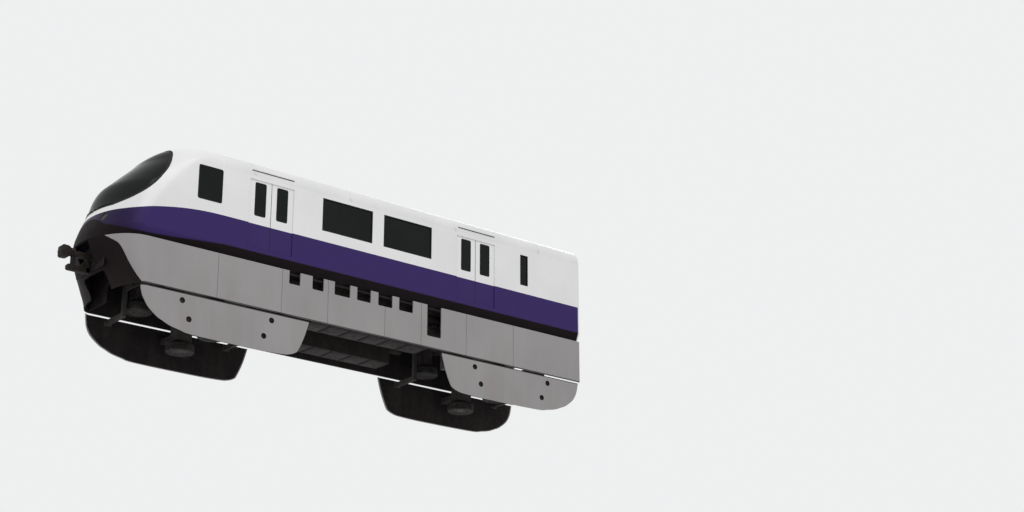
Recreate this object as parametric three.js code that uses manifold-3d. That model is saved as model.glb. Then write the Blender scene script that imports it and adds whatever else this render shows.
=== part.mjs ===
// The cab car of a monorail train.
// Millimetres. +X is forward, to the nose, +Y is the car's left side and +Z is up. The origin lies under
// the middle of the car, at the level on which its running tyres roll.
import * as THREE from 'three';
import { mergeVertices } from 'three/addons/utils/BufferGeometryUtils.js';
import Module from 'manifold-3d';

const wasm = await Module();
wasm.setup();

// Driving dimensions of the body.
const GAP = 0.3;
const FAR = 9000;
const HALF_WIDTH = 1450;
const REAR_X = -7400;
const REAR_WALL = 40;
const CAB_X = 4120;
const FLOOR = { bottom: 1030, top: 1130, plan: [1030, 7060, 6080, 2] };
const BAND = { bottom: 745, tuckTop: 1000, tuck: 110, top: 1765 };
const WALL_TOP = 3050;
const WALL = 100;
const ROOF_SKIN = 60;
const NOSE_SKIN = 60;
const CORNER = { y: 1000, z: 3060, radius: 450, crownAngle: THREE.MathUtils.degToRad(68) };
const WINDOW = { bottom: 2056, top: 2949 };
const NARROW_WINDOW = { bottom: 2000, top: 2880 };
const PANE = { outer: 1428, thickness: 12, lap: 19 };

// Driving dimensions of the doors: two leaves to a doorway, each sliding into a pocket in the wall.
const DOOR_CENTRES = { front: 2750, rear: -3735 };
const DOORWAY = { half: 650, bottom: 1125, top: 2945 };
const LEAF = { width: 680, thickness: 50, travel: 640, middle: 1400, clearance: 5, meeting: 1.5 };
const LEAF_WINDOW = { near: 165, far: 475 };

// Driving dimensions below the floor.
const SKIRT = { halfWidth: 1490, skin: 30, bottom: -430, top: 742 };
const BEAM = { halfWidth: 425, room: 520, roomTop: 20 };
const BOGIE_CENTRES = { front: 3880, rear: -4950 };
const TYRE = { radius: 503, inner: 40, outer: 375, shoulder: 30, bevel: 16, wheelbase: 1500 };
const GUIDE = { radius: 365, x: 1250, z: -300, stabiliserZ: -1100, width: 210 };
const GUIDE_Y = BEAM.halfWidth + GUIDE.radius;
const COVER = { top: -480, holeRadius: 75 };

// Materials, by finish.
const finish = (color, roughness, metalness = 0) =>
  new THREE.MeshStandardMaterial({ color, roughness, metalness });
const MATERIALS = {
  white: finish(0xe4e6e8, 0.35),
  blue: finish(0x33307c, 0.35),
  grey: finish(0xb9b6b8, 0.5),
  dark: finish(0x211d22, 0.7),
  steel: finish(0x4b4a4e, 0.55, 0.6),
  glass: finish(0x15201e, 0.1),
  rubber: finish(0x191919, 0.9),
  interior: finish(0xc8c9c4, 0.6),
  seat: finish(0x2c4c8a, 0.7),
  rail: finish(0xb8bcc0, 0.3, 0.9),
  lamp: finish(0xf2f2ea, 0.15),
};

const car = new THREE.Group();

// Boolean helpers.
function solid(geometry) {
  const bare = geometry.clone();
  bare.deleteAttribute('normal');
  bare.deleteAttribute('uv');
  const merged = mergeVertices(bare, 1e-3);
  return new wasm.Manifold(new wasm.Mesh({
    numProp: 3,
    vertProperties: Float32Array.from(merged.attributes.position.array),
    triVerts: Uint32Array.from(merged.index.array),
  }));
}

function geometryOf(body) {
  const mesh = body.getMesh();
  const geometry = new THREE.BufferGeometry();
  geometry.setAttribute('position', new THREE.BufferAttribute(Float32Array.from(mesh.vertProperties), 3));
  geometry.setIndex(new THREE.BufferAttribute(Uint32Array.from(mesh.triVerts), 1));
  geometry.computeVertexNormals();
  return geometry;
}

const join = (...bodies) => bodies.reduce((whole, body) => whole.add(body));
const cut = (body, ...tools) => tools.reduce((rest, tool) => rest.subtract(tool), body);

// Places a mesh in a group. The geometry may be a solid from the boolean helpers.
function place(parent, name, shape, material, position = [0, 0, 0]) {
  const geometry = shape.isBufferGeometry ? shape : geometryOf(shape);
  const mesh = new THREE.Mesh(geometry, material);
  mesh.name = name;
  mesh.position.set(...position);
  parent.add(mesh);
  return mesh;
}

// A box between two corners. The corners' Y may be given in either order, so that a side of +1 or -1
// mirrors it.
function block(x0, x1, y0, y1, z0, z1) {
  const geometry = new THREE.BoxGeometry(x1 - x0, Math.abs(y1 - y0), z1 - z0);
  return solid(geometry.translate((x0 + x1) / 2, (y0 + y1) / 2, (z0 + z1) / 2));
}

// Extrudes a shape drawn in YZ along X, one drawn in XZ along Y, or one drawn in XY along Z.
const AXES = {
  x: new THREE.Matrix4().makeBasis(
    new THREE.Vector3(0, 1, 0), new THREE.Vector3(0, 0, 1), new THREE.Vector3(1, 0, 0)),
  y: new THREE.Matrix4().makeBasis(
    new THREE.Vector3(1, 0, 0), new THREE.Vector3(0, 0, 1), new THREE.Vector3(0, -1, 0)),
  z: new THREE.Matrix4(),
};
const START = { x: (low) => [low, 0, 0], y: (low, high) => [0, high, 0], z: (low) => [0, 0, low] };

function prism(axis, shape, low, high, curveSegments = 5) {
  const settings = { depth: high - low, bevelEnabled: false, curveSegments };
  const geometry = new THREE.ExtrudeGeometry(shape, settings);
  return solid(geometry.applyMatrix4(AXES[axis]).translate(...START[axis](low, high)));
}

const outline = (points) => new THREE.Shape(points.map(([u, v]) => new THREE.Vector2(u, v)));

// A round bar along an axis, from one end to the other.
function bar(axis, radius, low, high, [u, v], sides = 16) {
  const shape = new THREE.Shape().absarc(u, v, radius, 0, 2 * Math.PI);
  return prism(axis, shape, low, high, sides / 2);
}

// A closed solid through rings of points with equal counts, listed from the lowest to the highest.
function loft(rings) {
  const count = rings[0].length;
  const faces = [];
  for (let level = 0; level < rings.length - 1; level += 1) {
    for (let i = 0; i < count; i += 1) {
      const a = level * count + i;
      const b = level * count + ((i + 1) % count);
      faces.push(a, b, b + count, a, b + count, a + count);
    }
  }
  const top = (rings.length - 1) * count;
  for (let i = 1; i < count - 1; i += 1) {
    faces.push(0, i + 1, i, top, top + i, top + i + 1);
  }
  const geometry = new THREE.BufferGeometry().setFromPoints(rings.flat());
  geometry.setIndex(faces);
  return solid(geometry);
}

// The body's cross-section in YZ: upright sides, round roof corners and a crowned roof.
function bodySection(inset, bottom = BAND.bottom) {
  const w = HALF_WIDTH - inset;
  const { y, z, radius, crownAngle } = CORNER;
  const crownRadius = y / Math.cos(crownAngle) + radius;
  const crownZ = z + (radius - crownRadius) * Math.sin(crownAngle);
  const shape = new THREE.Shape();
  shape.moveTo(-(w - BAND.tuck), bottom);
  shape.lineTo(w - BAND.tuck, bottom);
  shape.lineTo(w - BAND.tuck, BAND.bottom);
  shape.lineTo(w, BAND.tuckTop);
  shape.lineTo(w, z);
  shape.absarc(y, z, radius - inset, 0, crownAngle);
  shape.absarc(0, crownZ, crownRadius - inset, crownAngle, Math.PI - crownAngle);
  shape.absarc(-y, z, radius - inset, Math.PI - crownAngle, Math.PI);
  shape.lineTo(-w, BAND.tuckTop);
  shape.lineTo(-(w - BAND.tuck), BAND.bottom);
  return shape;
}

// The nose in plan is a half oval at every height, as wide as the body's cross-section there.
// Columns: height, tip of the nose, start of the taper, squareness of the oval (2 is an ellipse).
const NOSE_LEVELS = [
  [570, 7240, 6150, 2],
  [790, 7180, 6150, 2],
  [1000, 7124, 6110, 2],
  [1220, 7052, 6030, 2],
  [1440, 6970, 5950, 2],
  [1700, 6870, 5820, 2],
  [1990, 6798, 5620, 2],
  [2240, 6690, 5420, 2],
  [2480, 6464, 5240, 2],
  [2760, 6180, 5030, 2],
  [3060, 5878, 4710, 2],
  [3166, 5785, 4560, 2.15],
  [3266, 5680, 4430, 2.4],
  [3354, 5567, 4300, 2.7],
  [3426, 5445, 4255, 3],
  [3477, 5300, 4250, 3.3],
  [3560, 5000, 4240, 3.8],
  [3622, 4820, 4220, 4.2],
  [3660, 4660, 4200, 4.5],
  [3695, 4430, 4180, 4.8],
];
const SKIRT_LEVELS = [
  [-1600, 6500, 6050, 2],
  [-430, 6560, 6100, 2],
  [0, 6800, 6130, 2],
  [390, 7030, 6150, 2],
  [790, 7190, 6150, 2],
];

// Half the width of the body's cross-section at a height.
function sectionHalfWidth(height) {
  const crownRadius = CORNER.y / Math.cos(CORNER.crownAngle) + CORNER.radius;
  const crownZ = CORNER.z + (CORNER.radius - crownRadius) * Math.sin(CORNER.crownAngle);
  const cornerTop = CORNER.z + CORNER.radius * Math.sin(CORNER.crownAngle);
  if (height < BAND.tuckTop) {
    const share = (BAND.tuckTop - height) / (BAND.tuckTop - BAND.bottom);
    return HALF_WIDTH - BAND.tuck * Math.min(1, share);
  }
  if (height <= CORNER.z) return HALF_WIDTH;
  if (height < cornerTop) return CORNER.y + Math.sqrt(CORNER.radius ** 2 - (height - CORNER.z) ** 2);
  return Math.sqrt(crownRadius ** 2 - (height - crownZ) ** 2);
}

function noseRing([height, tip, taperStart, squareness], halfWidth, inset, back, steps = 18) {
  const b = halfWidth - inset;
  const a = tip - inset - taperStart;
  const ring = [new THREE.Vector3(back, -b, height)];
  for (let i = 0; i <= steps; i += 1) {
    const angle = -Math.PI / 2 + (i / steps) * Math.PI;
    const across = Math.sign(Math.sin(angle)) * Math.abs(Math.sin(angle)) ** (2 / squareness);
    ring.push(new THREE.Vector3(taperStart + a * Math.cos(angle), b * across, height));
  }
  ring.push(new THREE.Vector3(back, b, height));
  return ring;
}

const nose = (inset, back = CAB_X) =>
  loft(NOSE_LEVELS.map((level) => noseRing(level, sectionHalfWidth(level[0]), inset, back)))
    .intersect(prism('x', bodySection(inset, BAND.bottom - inset), back, FAR));

const skirtBody = (inset) =>
  loft(SKIRT_LEVELS.map((level) => noseRing(level, SKIRT.halfWidth, inset, REAR_X + REAR_WALL)));

// Lines on the nose in side view, X then Z.
const BAND_TOP_LINE = [
  [CAB_X - 200, BAND.top], [4500, 1758], [4972, 1723], [5320, 1678], [5665, 1618], [6000, 1551],
  [6296, 1493], [6544, 1463], [6739, 1454], [FAR, 1452],
];
const WINDSHIELD_LINE = [
  [FAR, 1622], [6850, 1622], [6758, 1634], [6642, 1690], [6499, 1770], [6343, 1883], [6183, 2012],
  [6022, 2174], [5885, 2337], [5754, 2521], [5643, 2690], [5512, 2945], [5400, 3230], [5360, 3420],
  [5360, 4200],
];

function aboveLine(line, shift) {
  const border = line.map(([x, z]) => [x, z + shift]);
  return prism('y', outline([...border, [FAR, 4500], [line[0][0], 4500]]), -2000, 2000);
}

function windshieldRegion(margin) {
  const line = WINDSHIELD_LINE.map(([x, z]) => [x + margin, z + margin]);
  return prism('y', outline([...line, [FAR + margin, 4200]]), -2000, 2000);
}

// Underframe: floor plate, sills, skirt hangers, draw gear pockets and equipment boxes.
const EQUIPMENT = { rear: -2350, front: 1300, inner: 560, outer: 1200, bottom: -350 };
const SILL = { rear: -7300, front: 5250, inner: 1150, outer: 1205, bottom: 620 };
const HANGER_X = [-7000, -6200, -3000, -1900, -420, 980, 1660, 3880, 5100];
const DRAW_GEAR = { front: [6150, 6500], rear: [-7250, -6900], halfWidth: 200, bottom: 320 };

function underframe() {
  const ring = noseRing(FLOOR.plan, HALF_WIDTH, NOSE_SKIN + 42, REAR_X + REAR_WALL + GAP);
  const plate = prism('z', outline(ring.map((p) => [p.x, p.y])), FLOOR.bottom, FLOOR.top);
  const parts = [plate];
  for (const side of [-1, 1]) {
    parts.push(block(SILL.rear, SILL.front, side * SILL.inner, side * SILL.outer,
      SILL.bottom, FLOOR.bottom + 5));
    parts.push(block(EQUIPMENT.rear, EQUIPMENT.front, side * EQUIPMENT.inner, side * EQUIPMENT.outer,
      EQUIPMENT.bottom, FLOOR.bottom + 5));
    for (const x of HANGER_X) {
      parts.push(block(x - 40, x + 40, side * SILL.inner, side * (SKIRT.halfWidth - SKIRT.skin - GAP),
        SILL.bottom, SILL.bottom + 60));
    }
  }
  for (const end of ['front', 'rear']) {
    parts.push(block(...DRAW_GEAR[end], -DRAW_GEAR.halfWidth, DRAW_GEAR.halfWidth,
      DRAW_GEAR.bottom, FLOOR.bottom + 5));
  }
  return join(...parts);
}
place(car, 'underframe', underframe(), MATERIALS.dark);

// Side walls, blue lower panels and roof of the saloon, cut from one long tube.
const SALOON = { back: REAR_X + REAR_WALL + GAP, front: CAB_X - GAP };
const tube = (skin) => cut(prism('x', bodySection(0), SALOON.back, SALOON.front),
  prism('x', bodySection(skin, BAND.bottom - skin), SALOON.back - 10, SALOON.front + 10));

const SALOON_WINDOWS = [[-331, 1226], [-2244, -689]];
const REAR_WINDOW = [-5550, -5280];
const GLAZING = { back: -2300, front: 1282, margin: 34 };

function doorwayCuts(side) {
  const tools = [];
  for (const centre of Object.values(DOOR_CENTRES)) {
    tools.push(block(centre - DOORWAY.half, centre + DOORWAY.half, side * 1200, side * 1600,
      DOORWAY.bottom, DOORWAY.top));
    const reach = LEAF.meeting + LEAF.width + LEAF.travel + LEAF.clearance;
    const half = LEAF.thickness / 2 + LEAF.clearance;
    tools.push(block(centre - reach, centre + reach, side * (LEAF.middle - half),
      side * (LEAF.middle + half), DOORWAY.bottom, DOORWAY.top + 20));
  }
  return tools;
}
for (const [sideName, side] of [['left', 1], ['right', -1]]) {
  const half = block(REAR_X - 10, FAR, side * 10, side * 2000, BAND.top + GAP, WALL_TOP);
  const openings = doorwayCuts(side);
  for (const [x0, x1] of [...SALOON_WINDOWS, REAR_WINDOW]) {
    const height = x0 === REAR_WINDOW[0] ? NARROW_WINDOW : WINDOW;
    openings.push(block(x0, x1, side * 1200, side * 1600, height.bottom, height.top));
  }
  openings.push(block(GLAZING.back - GAP, GLAZING.front + GAP, side * (PANE.outer - PANE.thickness - GAP),
    side * (PANE.outer + GAP), WINDOW.bottom - GLAZING.margin - GAP, WINDOW.top + GLAZING.margin + GAP));
  const lap = PANE.lap + GAP;
  openings.push(block(REAR_WINDOW[0] - lap, REAR_WINDOW[1] + lap, side * (PANE.outer - PANE.thickness - GAP),
    side * (PANE.outer + GAP), NARROW_WINDOW.bottom - lap, NARROW_WINDOW.top + lap));
  place(car, `side_wall_${sideName}`, cut(tube(WALL).intersect(half), ...openings), MATERIALS.white);

  const lower = block(REAR_X - 10, FAR, side * 10, side * 2000, BAND.bottom - 10, BAND.top);
  const band = cut(tube(WALL).intersect(lower), ...doorwayCuts(side));
  place(car, `band_panel_${sideName}`, band, MATERIALS.blue);

  const faces = [side * (PANE.outer - PANE.thickness), side * PANE.outer];
  const glazing = block(GLAZING.back, GLAZING.front, ...faces,
    WINDOW.bottom - GLAZING.margin, WINDOW.top + GLAZING.margin);
  place(car, `saloon_glazing_${sideName}`, glazing, MATERIALS.glass);
  const rearPane = block(REAR_WINDOW[0] - PANE.lap, REAR_WINDOW[1] + PANE.lap, ...faces,
    NARROW_WINDOW.bottom - PANE.lap, NARROW_WINDOW.top + PANE.lap);
  place(car, `rear_window_${sideName}`, rearPane, MATERIALS.glass);
}
place(car, 'roof', tube(ROOF_SKIN).intersect(block(REAR_X, FAR, -2000, 2000, WALL_TOP + GAP, 4500)),
  MATERIALS.white);

// Rear wall with its gangway opening, and the bellows frame behind it.
const GANGWAY = { half: 420, top: 3080, frameHalf: 640, frameBottom: 1000, frameTop: 3260, depth: 220 };
const rearWall = cut(prism('x', bodySection(0), REAR_X, REAR_X + REAR_WALL),
  block(REAR_X - 10, REAR_X + 100, -GANGWAY.half, GANGWAY.half, FLOOR.top, GANGWAY.top));
place(car, 'rear_wall', rearWall, MATERIALS.white);
const bellows = cut(
  block(REAR_X - GANGWAY.depth, REAR_X - GAP, -GANGWAY.frameHalf, GANGWAY.frameHalf,
    GANGWAY.frameBottom, GANGWAY.frameTop),
  block(REAR_X - GANGWAY.depth - 10, REAR_X + 10, -GANGWAY.half, GANGWAY.half, FLOOR.top, GANGWAY.top));
place(car, 'gangway_frame', bellows, MATERIALS.rubber);

// Cab: white shell, blue nose panel, windshield and side windows.
const CAB_WINDOW = { rear: 4180, front: 4860 };
const GLASS_SKIN = { outer: 4, inner: 24 };
const noseShell = cut(nose(0), nose(NOSE_SKIN, CAB_X - 10));
const cabWindowHole = (side, margin) => block(CAB_WINDOW.rear + margin, CAB_WINDOW.front - margin,
  side * 1200, side * 1600, WINDOW.bottom + margin, WINDOW.top - margin);
const cabShell = cut(noseShell.intersect(aboveLine(BAND_TOP_LINE, GAP)), windshieldRegion(0),
  cabWindowHole(1, 0), cabWindowHole(-1, 0));
place(car, 'cab_shell', cabShell, MATERIALS.white);
const glassShell = cut(nose(GLASS_SKIN.outer), nose(GLASS_SKIN.inner, CAB_X - 10));
place(car, 'windshield', glassShell.intersect(windshieldRegion(GAP)), MATERIALS.glass);
for (const [sideName, side] of [['left', 1], ['right', -1]]) {
  place(car, `cab_window_${sideName}`, glassShell.intersect(cabWindowHole(side, GAP)), MATERIALS.glass);
}

// Headlights, each set in a round hole of the nose panel.
const LAMP = { y: 640, z: 1290, radius: 95, back: 6600 };
const lampHole = (side, margin) =>
  bar('x', LAMP.radius - margin, LAMP.back, FAR, [side * LAMP.y, LAMP.z], 14);
const nosePanel = cut(noseShell, aboveLine(BAND_TOP_LINE, 0), lampHole(1, 0), lampHole(-1, 0));
place(car, 'nose_panel', nosePanel, MATERIALS.blue);
for (const [sideName, side] of [['left', 1], ['right', -1]]) {
  place(car, `headlight_${sideName}`, lampHole(side, GAP).intersect(nose(10)), MATERIALS.lamp);
}

// Cab fittings: the partition to the saloon, the driver's desk and seat.
const partition = cut(prism('x', bodySection(NOSE_SKIN + 4, FLOOR.top), CAB_X + 6, CAB_X + 40),
  block(CAB_X, CAB_X + 50, -2000, 2000, 0, FLOOR.top + GAP),
  block(CAB_X, CAB_X + 50, -360, 360, FLOOR.top, 3050));
place(car, 'cab_partition', partition, MATERIALS.interior);
const PODIUM = [4700, 6150, 60];
const DESK = [
  [5450, 1860], [5450, 1780], [5750, 1740], [5800, 1150], [6150, 1150], [6150, 1700], [5950, 1960],
];
const SEAT = [
  [4850, 1590], [4990, 1150], [5190, 1150], [5190, 1540], [5400, 1560], [5400, 1660], [4960, 1640],
  [4860, 2280], [4760, 2280],
];
const driverStation = join(
  block(PODIUM[0], PODIUM[1], -800, 800, FLOOR.top + GAP, FLOOR.top + PODIUM[2]),
  prism('y', outline(DESK), -950, 950),
  prism('y', outline(SEAT), -250, 250));
place(car, 'driver_station', driverStation, MATERIALS.dark);

// Saloon fittings: a bench along each side between the doorways, and the grab rails.
const BENCH = [[1345, FLOOR.top + GAP], [1345, 1980], [1285, 1980], [1240, 1600], [880, 1570], [870, 1500],
  [1180, 1480], [1180, FLOOR.top + GAP]];
const BENCH_X = [-2250, 1250];
for (const [sideName, side] of [['left', 1], ['right', -1]]) {
  const profile = side > 0 ? BENCH.toReversed() : BENCH.map(([y, z]) => [-y, z]);
  place(car, `bench_${sideName}`, prism('x', outline(profile), ...BENCH_X), MATERIALS.seat);
}
const RAIL = { y: 760, z: 2960, hangerTop: 3700, radius: 17, rear: -6600, front: 3600 };
const HANGERS = [-6000, -3000, 0, 3000];
const rails = [];
for (const side of [-1, 1]) {
  rails.push(bar('x', RAIL.radius, RAIL.rear, RAIL.front, [side * RAIL.y, RAIL.z], 6));
  for (const x of HANGERS) {
    rails.push(bar('z', RAIL.radius, RAIL.z, RAIL.hangerTop, [x, side * RAIL.y], 6));
  }
}
for (const x of HANGERS) {
  rails.push(bar('y', RAIL.radius, -RAIL.y, RAIL.y, [x, RAIL.z], 6));
}
const roomSection = prism('x', bodySection(ROOF_SKIN + GAP), REAR_X, CAB_X);
place(car, 'grab_rails', join(...rails).intersect(roomSection), MATERIALS.rail);

// Low air-conditioning units on the roof, joined by a cable duct.
const ROOF_UNITS = [[700, 2900], [-5600, -3400]];
const ROOF_UNIT = { half: 420, bottom: 3560, top: 3810, ductHalf: 160, ductTop: 3760 };
const roofUnits = join(
  ...ROOF_UNITS.map(([x0, x1]) =>
    block(x0, x1, -ROOF_UNIT.half, ROOF_UNIT.half, ROOF_UNIT.bottom, ROOF_UNIT.top)),
  block(-3500, 800, -ROOF_UNIT.ductHalf, ROOF_UNIT.ductHalf, ROOF_UNIT.bottom, ROOF_UNIT.ductTop));
const underRoofUnits = prism('x', bodySection(-GAP), REAR_X, CAB_X + 100);
place(car, 'roof_units', cut(roofUnits, underRoofUnits), MATERIALS.grey);

// Skirts down each side with the row of notches along the top, one of them deep, and the dark front valance.
const SKIRT_FRONT = [[6195, SKIRT.bottom], [6252, -408], [6358, -176], [6490, 53], [6611, 290], [6734, 511],
  [6870, 640], [7000, SKIRT.top]];
// Columns: rear end, front end, bottom.
const NOTCHES = [
  [1840, 2170, 400], [1140, 1480, 400], [330, 810, 400], [-310, 120, 400], [-990, -540, 400],
  [-1650, -1200, 400], [-2570, -2110, -110],
];
const skirtShell = cut(skirtBody(0), skirtBody(SKIRT.skin).translate(-100, 0, 0), skirtBody(SKIRT.skin))
  .intersect(block(REAR_X + REAR_WALL + GAP, FAR, -2000, 2000, SKIRT.bottom, SKIRT.top));
const skirtRegion = (shift) => prism('y', outline([[REAR_X - 100, SKIRT.bottom - 50],
  [SKIRT_FRONT[0][0] + shift, SKIRT.bottom - 50], ...SKIRT_FRONT.map(([x, z]) => [x + shift, z]),
  [SKIRT_FRONT.at(-1)[0] + shift, SKIRT.top + 50], [REAR_X - 100, SKIRT.top + 50]]), -2000, 2000);
for (const [sideName, side] of [['left', 1], ['right', -1]]) {
  const half = block(REAR_X, FAR, side * 10, side * 2000, SKIRT.bottom - 10, SKIRT.top + 10);
  const notches = NOTCHES.map(([x0, x1, bottom]) =>
    block(x0, x1, side * 1300, side * 1600, bottom, SKIRT.top + 50));
  const skirt = cut(skirtShell.intersect(skirtRegion(0)).intersect(half), ...notches);
  place(car, `skirt_${sideName}`, skirt, MATERIALS.grey);
}
const COUPLER_HOLE = { half: 330, bottom: 120, top: 705 };
const valance = cut(skirtShell, skirtRegion(GAP),
  block(5000, FAR, -BEAM.room, BEAM.room, -2000, BEAM.roomTop),
  block(6500, FAR, -COUPLER_HOLE.half, COUPLER_HOLE.half, COUPLER_HOLE.bottom, COUPLER_HOLE.top));
place(car, 'front_valance', valance, MATERIALS.dark);

// Couplers: a shank and a head, with a low bracket under the front one.
const COUPLER = { z: 440, shankHalf: 70, headHalf: 120, headTop: 585, headBottom: 295 };
const COUPLER_X = { front: 7700, frontNeck: 7550, rear: -7740, rearNeck: -7590 };
const BRACKET = { rear: 6900, post: 7000, front: 7490, half: 65, bottom: 5, top: 145 };
const shank = (x0, x1) => block(x0, x1, -COUPLER.shankHalf, COUPLER.shankHalf,
  COUPLER.z - COUPLER.shankHalf, COUPLER.z + COUPLER.shankHalf);
const head = (x0, x1) => join(
  block(x0, x1, -COUPLER.headHalf, COUPLER.headHalf, COUPLER.headBottom, COUPLER.headTop),
  bar('y', (COUPLER.headTop - COUPLER.headBottom) / 2, -COUPLER.headHalf, COUPLER.headHalf,
    [Math.abs(x0) < Math.abs(x1) ? x0 : x1, COUPLER.z], 14));
const frontCoupler = join(
  shank(DRAW_GEAR.front[1] + GAP, COUPLER_X.frontNeck),
  head(COUPLER_X.frontNeck, COUPLER_X.front),
  block(BRACKET.rear, BRACKET.post, -BRACKET.half, BRACKET.half, BRACKET.bottom, COUPLER.z),
  block(BRACKET.rear, BRACKET.front, -BRACKET.half, BRACKET.half, BRACKET.bottom, BRACKET.top));
place(car, 'coupler_front', frontCoupler, MATERIALS.steel);
const rearCoupler = join(
  shank(COUPLER_X.rearNeck, DRAW_GEAR.rear[0] - GAP),
  head(COUPLER_X.rear, COUPLER_X.rearNeck));
place(car, 'coupler_rear', rearCoupler, MATERIALS.steel);

// Door leaves, each with a narrow window.
for (const [doorName, centre] of Object.entries(DOOR_CENTRES)) {
  for (const [sideName, side] of [['left', 1], ['right', -1]]) {
    for (const [leafName, way] of [['fore', 1], ['aft', -1]]) {
      const span = (near, far) => [centre + way * near, centre + way * far].toSorted((a, b) => a - b);
      const faces = [side * (LEAF.middle - LEAF.thickness / 2), side * (LEAF.middle + LEAF.thickness / 2)];
      const leaf = block(...span(LEAF.meeting, LEAF.meeting + LEAF.width), ...faces,
        DOORWAY.bottom + LEAF.clearance, DOORWAY.top + 15);
      const windowRecess = block(...span(LEAF_WINDOW.near, LEAF_WINDOW.far),
        faces[1] - side * 8, faces[1] + side * 8, NARROW_WINDOW.bottom, NARROW_WINDOW.top);
      place(car, `door_${doorName}_${sideName}_${leafName}`, cut(leaf, windowRecess), MATERIALS.white);
    }
  }
}

// Bogies. Each has a saddle-shaped frame, two axles with twin running tyres, four guide wheels and two
// stabilising wheels on upright shafts, and a cover on each side.
const lathe = (profile, segments) =>
  new THREE.LatheGeometry(profile.map(([r, h]) => new THREE.Vector2(r, h)), segments);

// Half of the axle's outline from the middle out. Columns: radius, distance from the middle.
const AXLE_HALF = [
  [90, 0],
  [90, TYRE.inner],
  [TYRE.radius - TYRE.bevel, TYRE.inner],
  [TYRE.radius, TYRE.inner + TYRE.shoulder],
  [TYRE.radius, TYRE.outer - TYRE.shoulder],
  [TYRE.radius - TYRE.bevel, TYRE.outer],
  [300, TYRE.outer],
  [180, 330],
  [180, 470],
  [0, 470],
];
const axleProfile = [...AXLE_HALF.slice(1).toReversed().map(([r, h]) => [r, -h]), ...AXLE_HALF];
const axleShape = lathe(axleProfile, 20);

// Guide wheel outline from the bottom up. Columns: radius, height from the wheel's middle.
const GUIDE_PROFILE = [
  [0, -70], [150, -70], [GUIDE.radius - 10, -GUIDE.width / 2], [GUIDE.radius, -85], [GUIDE.radius, 85],
  [GUIDE.radius - 10, GUIDE.width / 2], [110, 75], [110, 155], [0, 155],
];
const guideShape = lathe(GUIDE_PROFILE, 16);

// Cover outline from its inner end to its outer end, in side view from the bogie's middle.
const COVER_OUTLINE = [
  [-2340, COVER.top], [-2310, -600], [-2206, -933], [-2050, -1280], [-1960, -1370], [-1800, -1430],
  [-1600, -1460], [-996, -1480], [-82, -1480], [965, -1463], [1250, -1415], [1529, -1356], [1740, -1270],
  [1900, -1195], [2140, -1004], [2262, -810], [2310, -656], [2340, COVER.top],
];
const COVER_HOLES = [[1250, -670], [1045, -1110], [-1250, -670], [-1045, -1110]];
const FRAME = { outer: 700, bottom: 330, top: 760, half: 1740 };
const MOTOR = { x: 760, z: 520, radius: 190, outer: 1040 };
const SPRING = { y: 890, radius: 205, top: 1022 };
const ARM_REACH = 1480;

// The frame is alike on both sides and at both ends. Its arms reach out to the insides of the covers.
function bogieFrame(centre) {
  const cores = [
    block(-160, 160, -600, 600, 420, 700),
    block(-FRAME.half, -1400, -600, 600, 420, 700),
    block(1400, FRAME.half, -600, 600, 420, 700),
  ];
  const arms = [];
  for (const side of [-1, 1]) {
    const y = (distance) => side * distance;
    cores.push(block(-FRAME.half, FRAME.half, y(500), y(FRAME.outer), FRAME.bottom, FRAME.top));
    cores.push(block(-220, 220, y(600), y(930), -930, FRAME.bottom + 50));
    cores.push(block(-250, 250, y(650), y(SPRING.y + SPRING.radius + 5), 560, FRAME.top));
    cores.push(bar('z', SPRING.radius, FRAME.top - 20, SPRING.top, [0, y(SPRING.y)], 12));
    arms.push(block(-150, 150, y(900), y(ARM_REACH), -820, -700));
    for (const end of [-1, 1]) {
      const x = end * GUIDE.x;
      const post = [end * 1640, end * FRAME.half].toSorted((low, high) => low - high);
      cores.push(block(x - 130, x + 130, y(620), y(930), -130, FRAME.bottom + 50));
      cores.push(block(...post, y(600), y(700), -620, FRAME.bottom + 50));
      const motorEnds = [y(650), y(MOTOR.outer)].toSorted((low, high) => low - high);
      cores.push(bar('y', MOTOR.radius, ...motorEnds, [end * MOTOR.x, MOTOR.z], 10));
      arms.push(block(...post, y(600), y(ARM_REACH), -640, -520));
    }
  }
  const insideCovers = skirtBody(SKIRT.skin + GAP).translate(-centre, 0, 0);
  const axleRooms = [-1, 1].map((end) =>
    bar('y', 195, -505, 505, [end * TYRE.wheelbase / 2, TYRE.radius], 12));
  return cut(join(...cores, join(...arms).intersect(insideCovers)), ...axleRooms);
}

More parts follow.
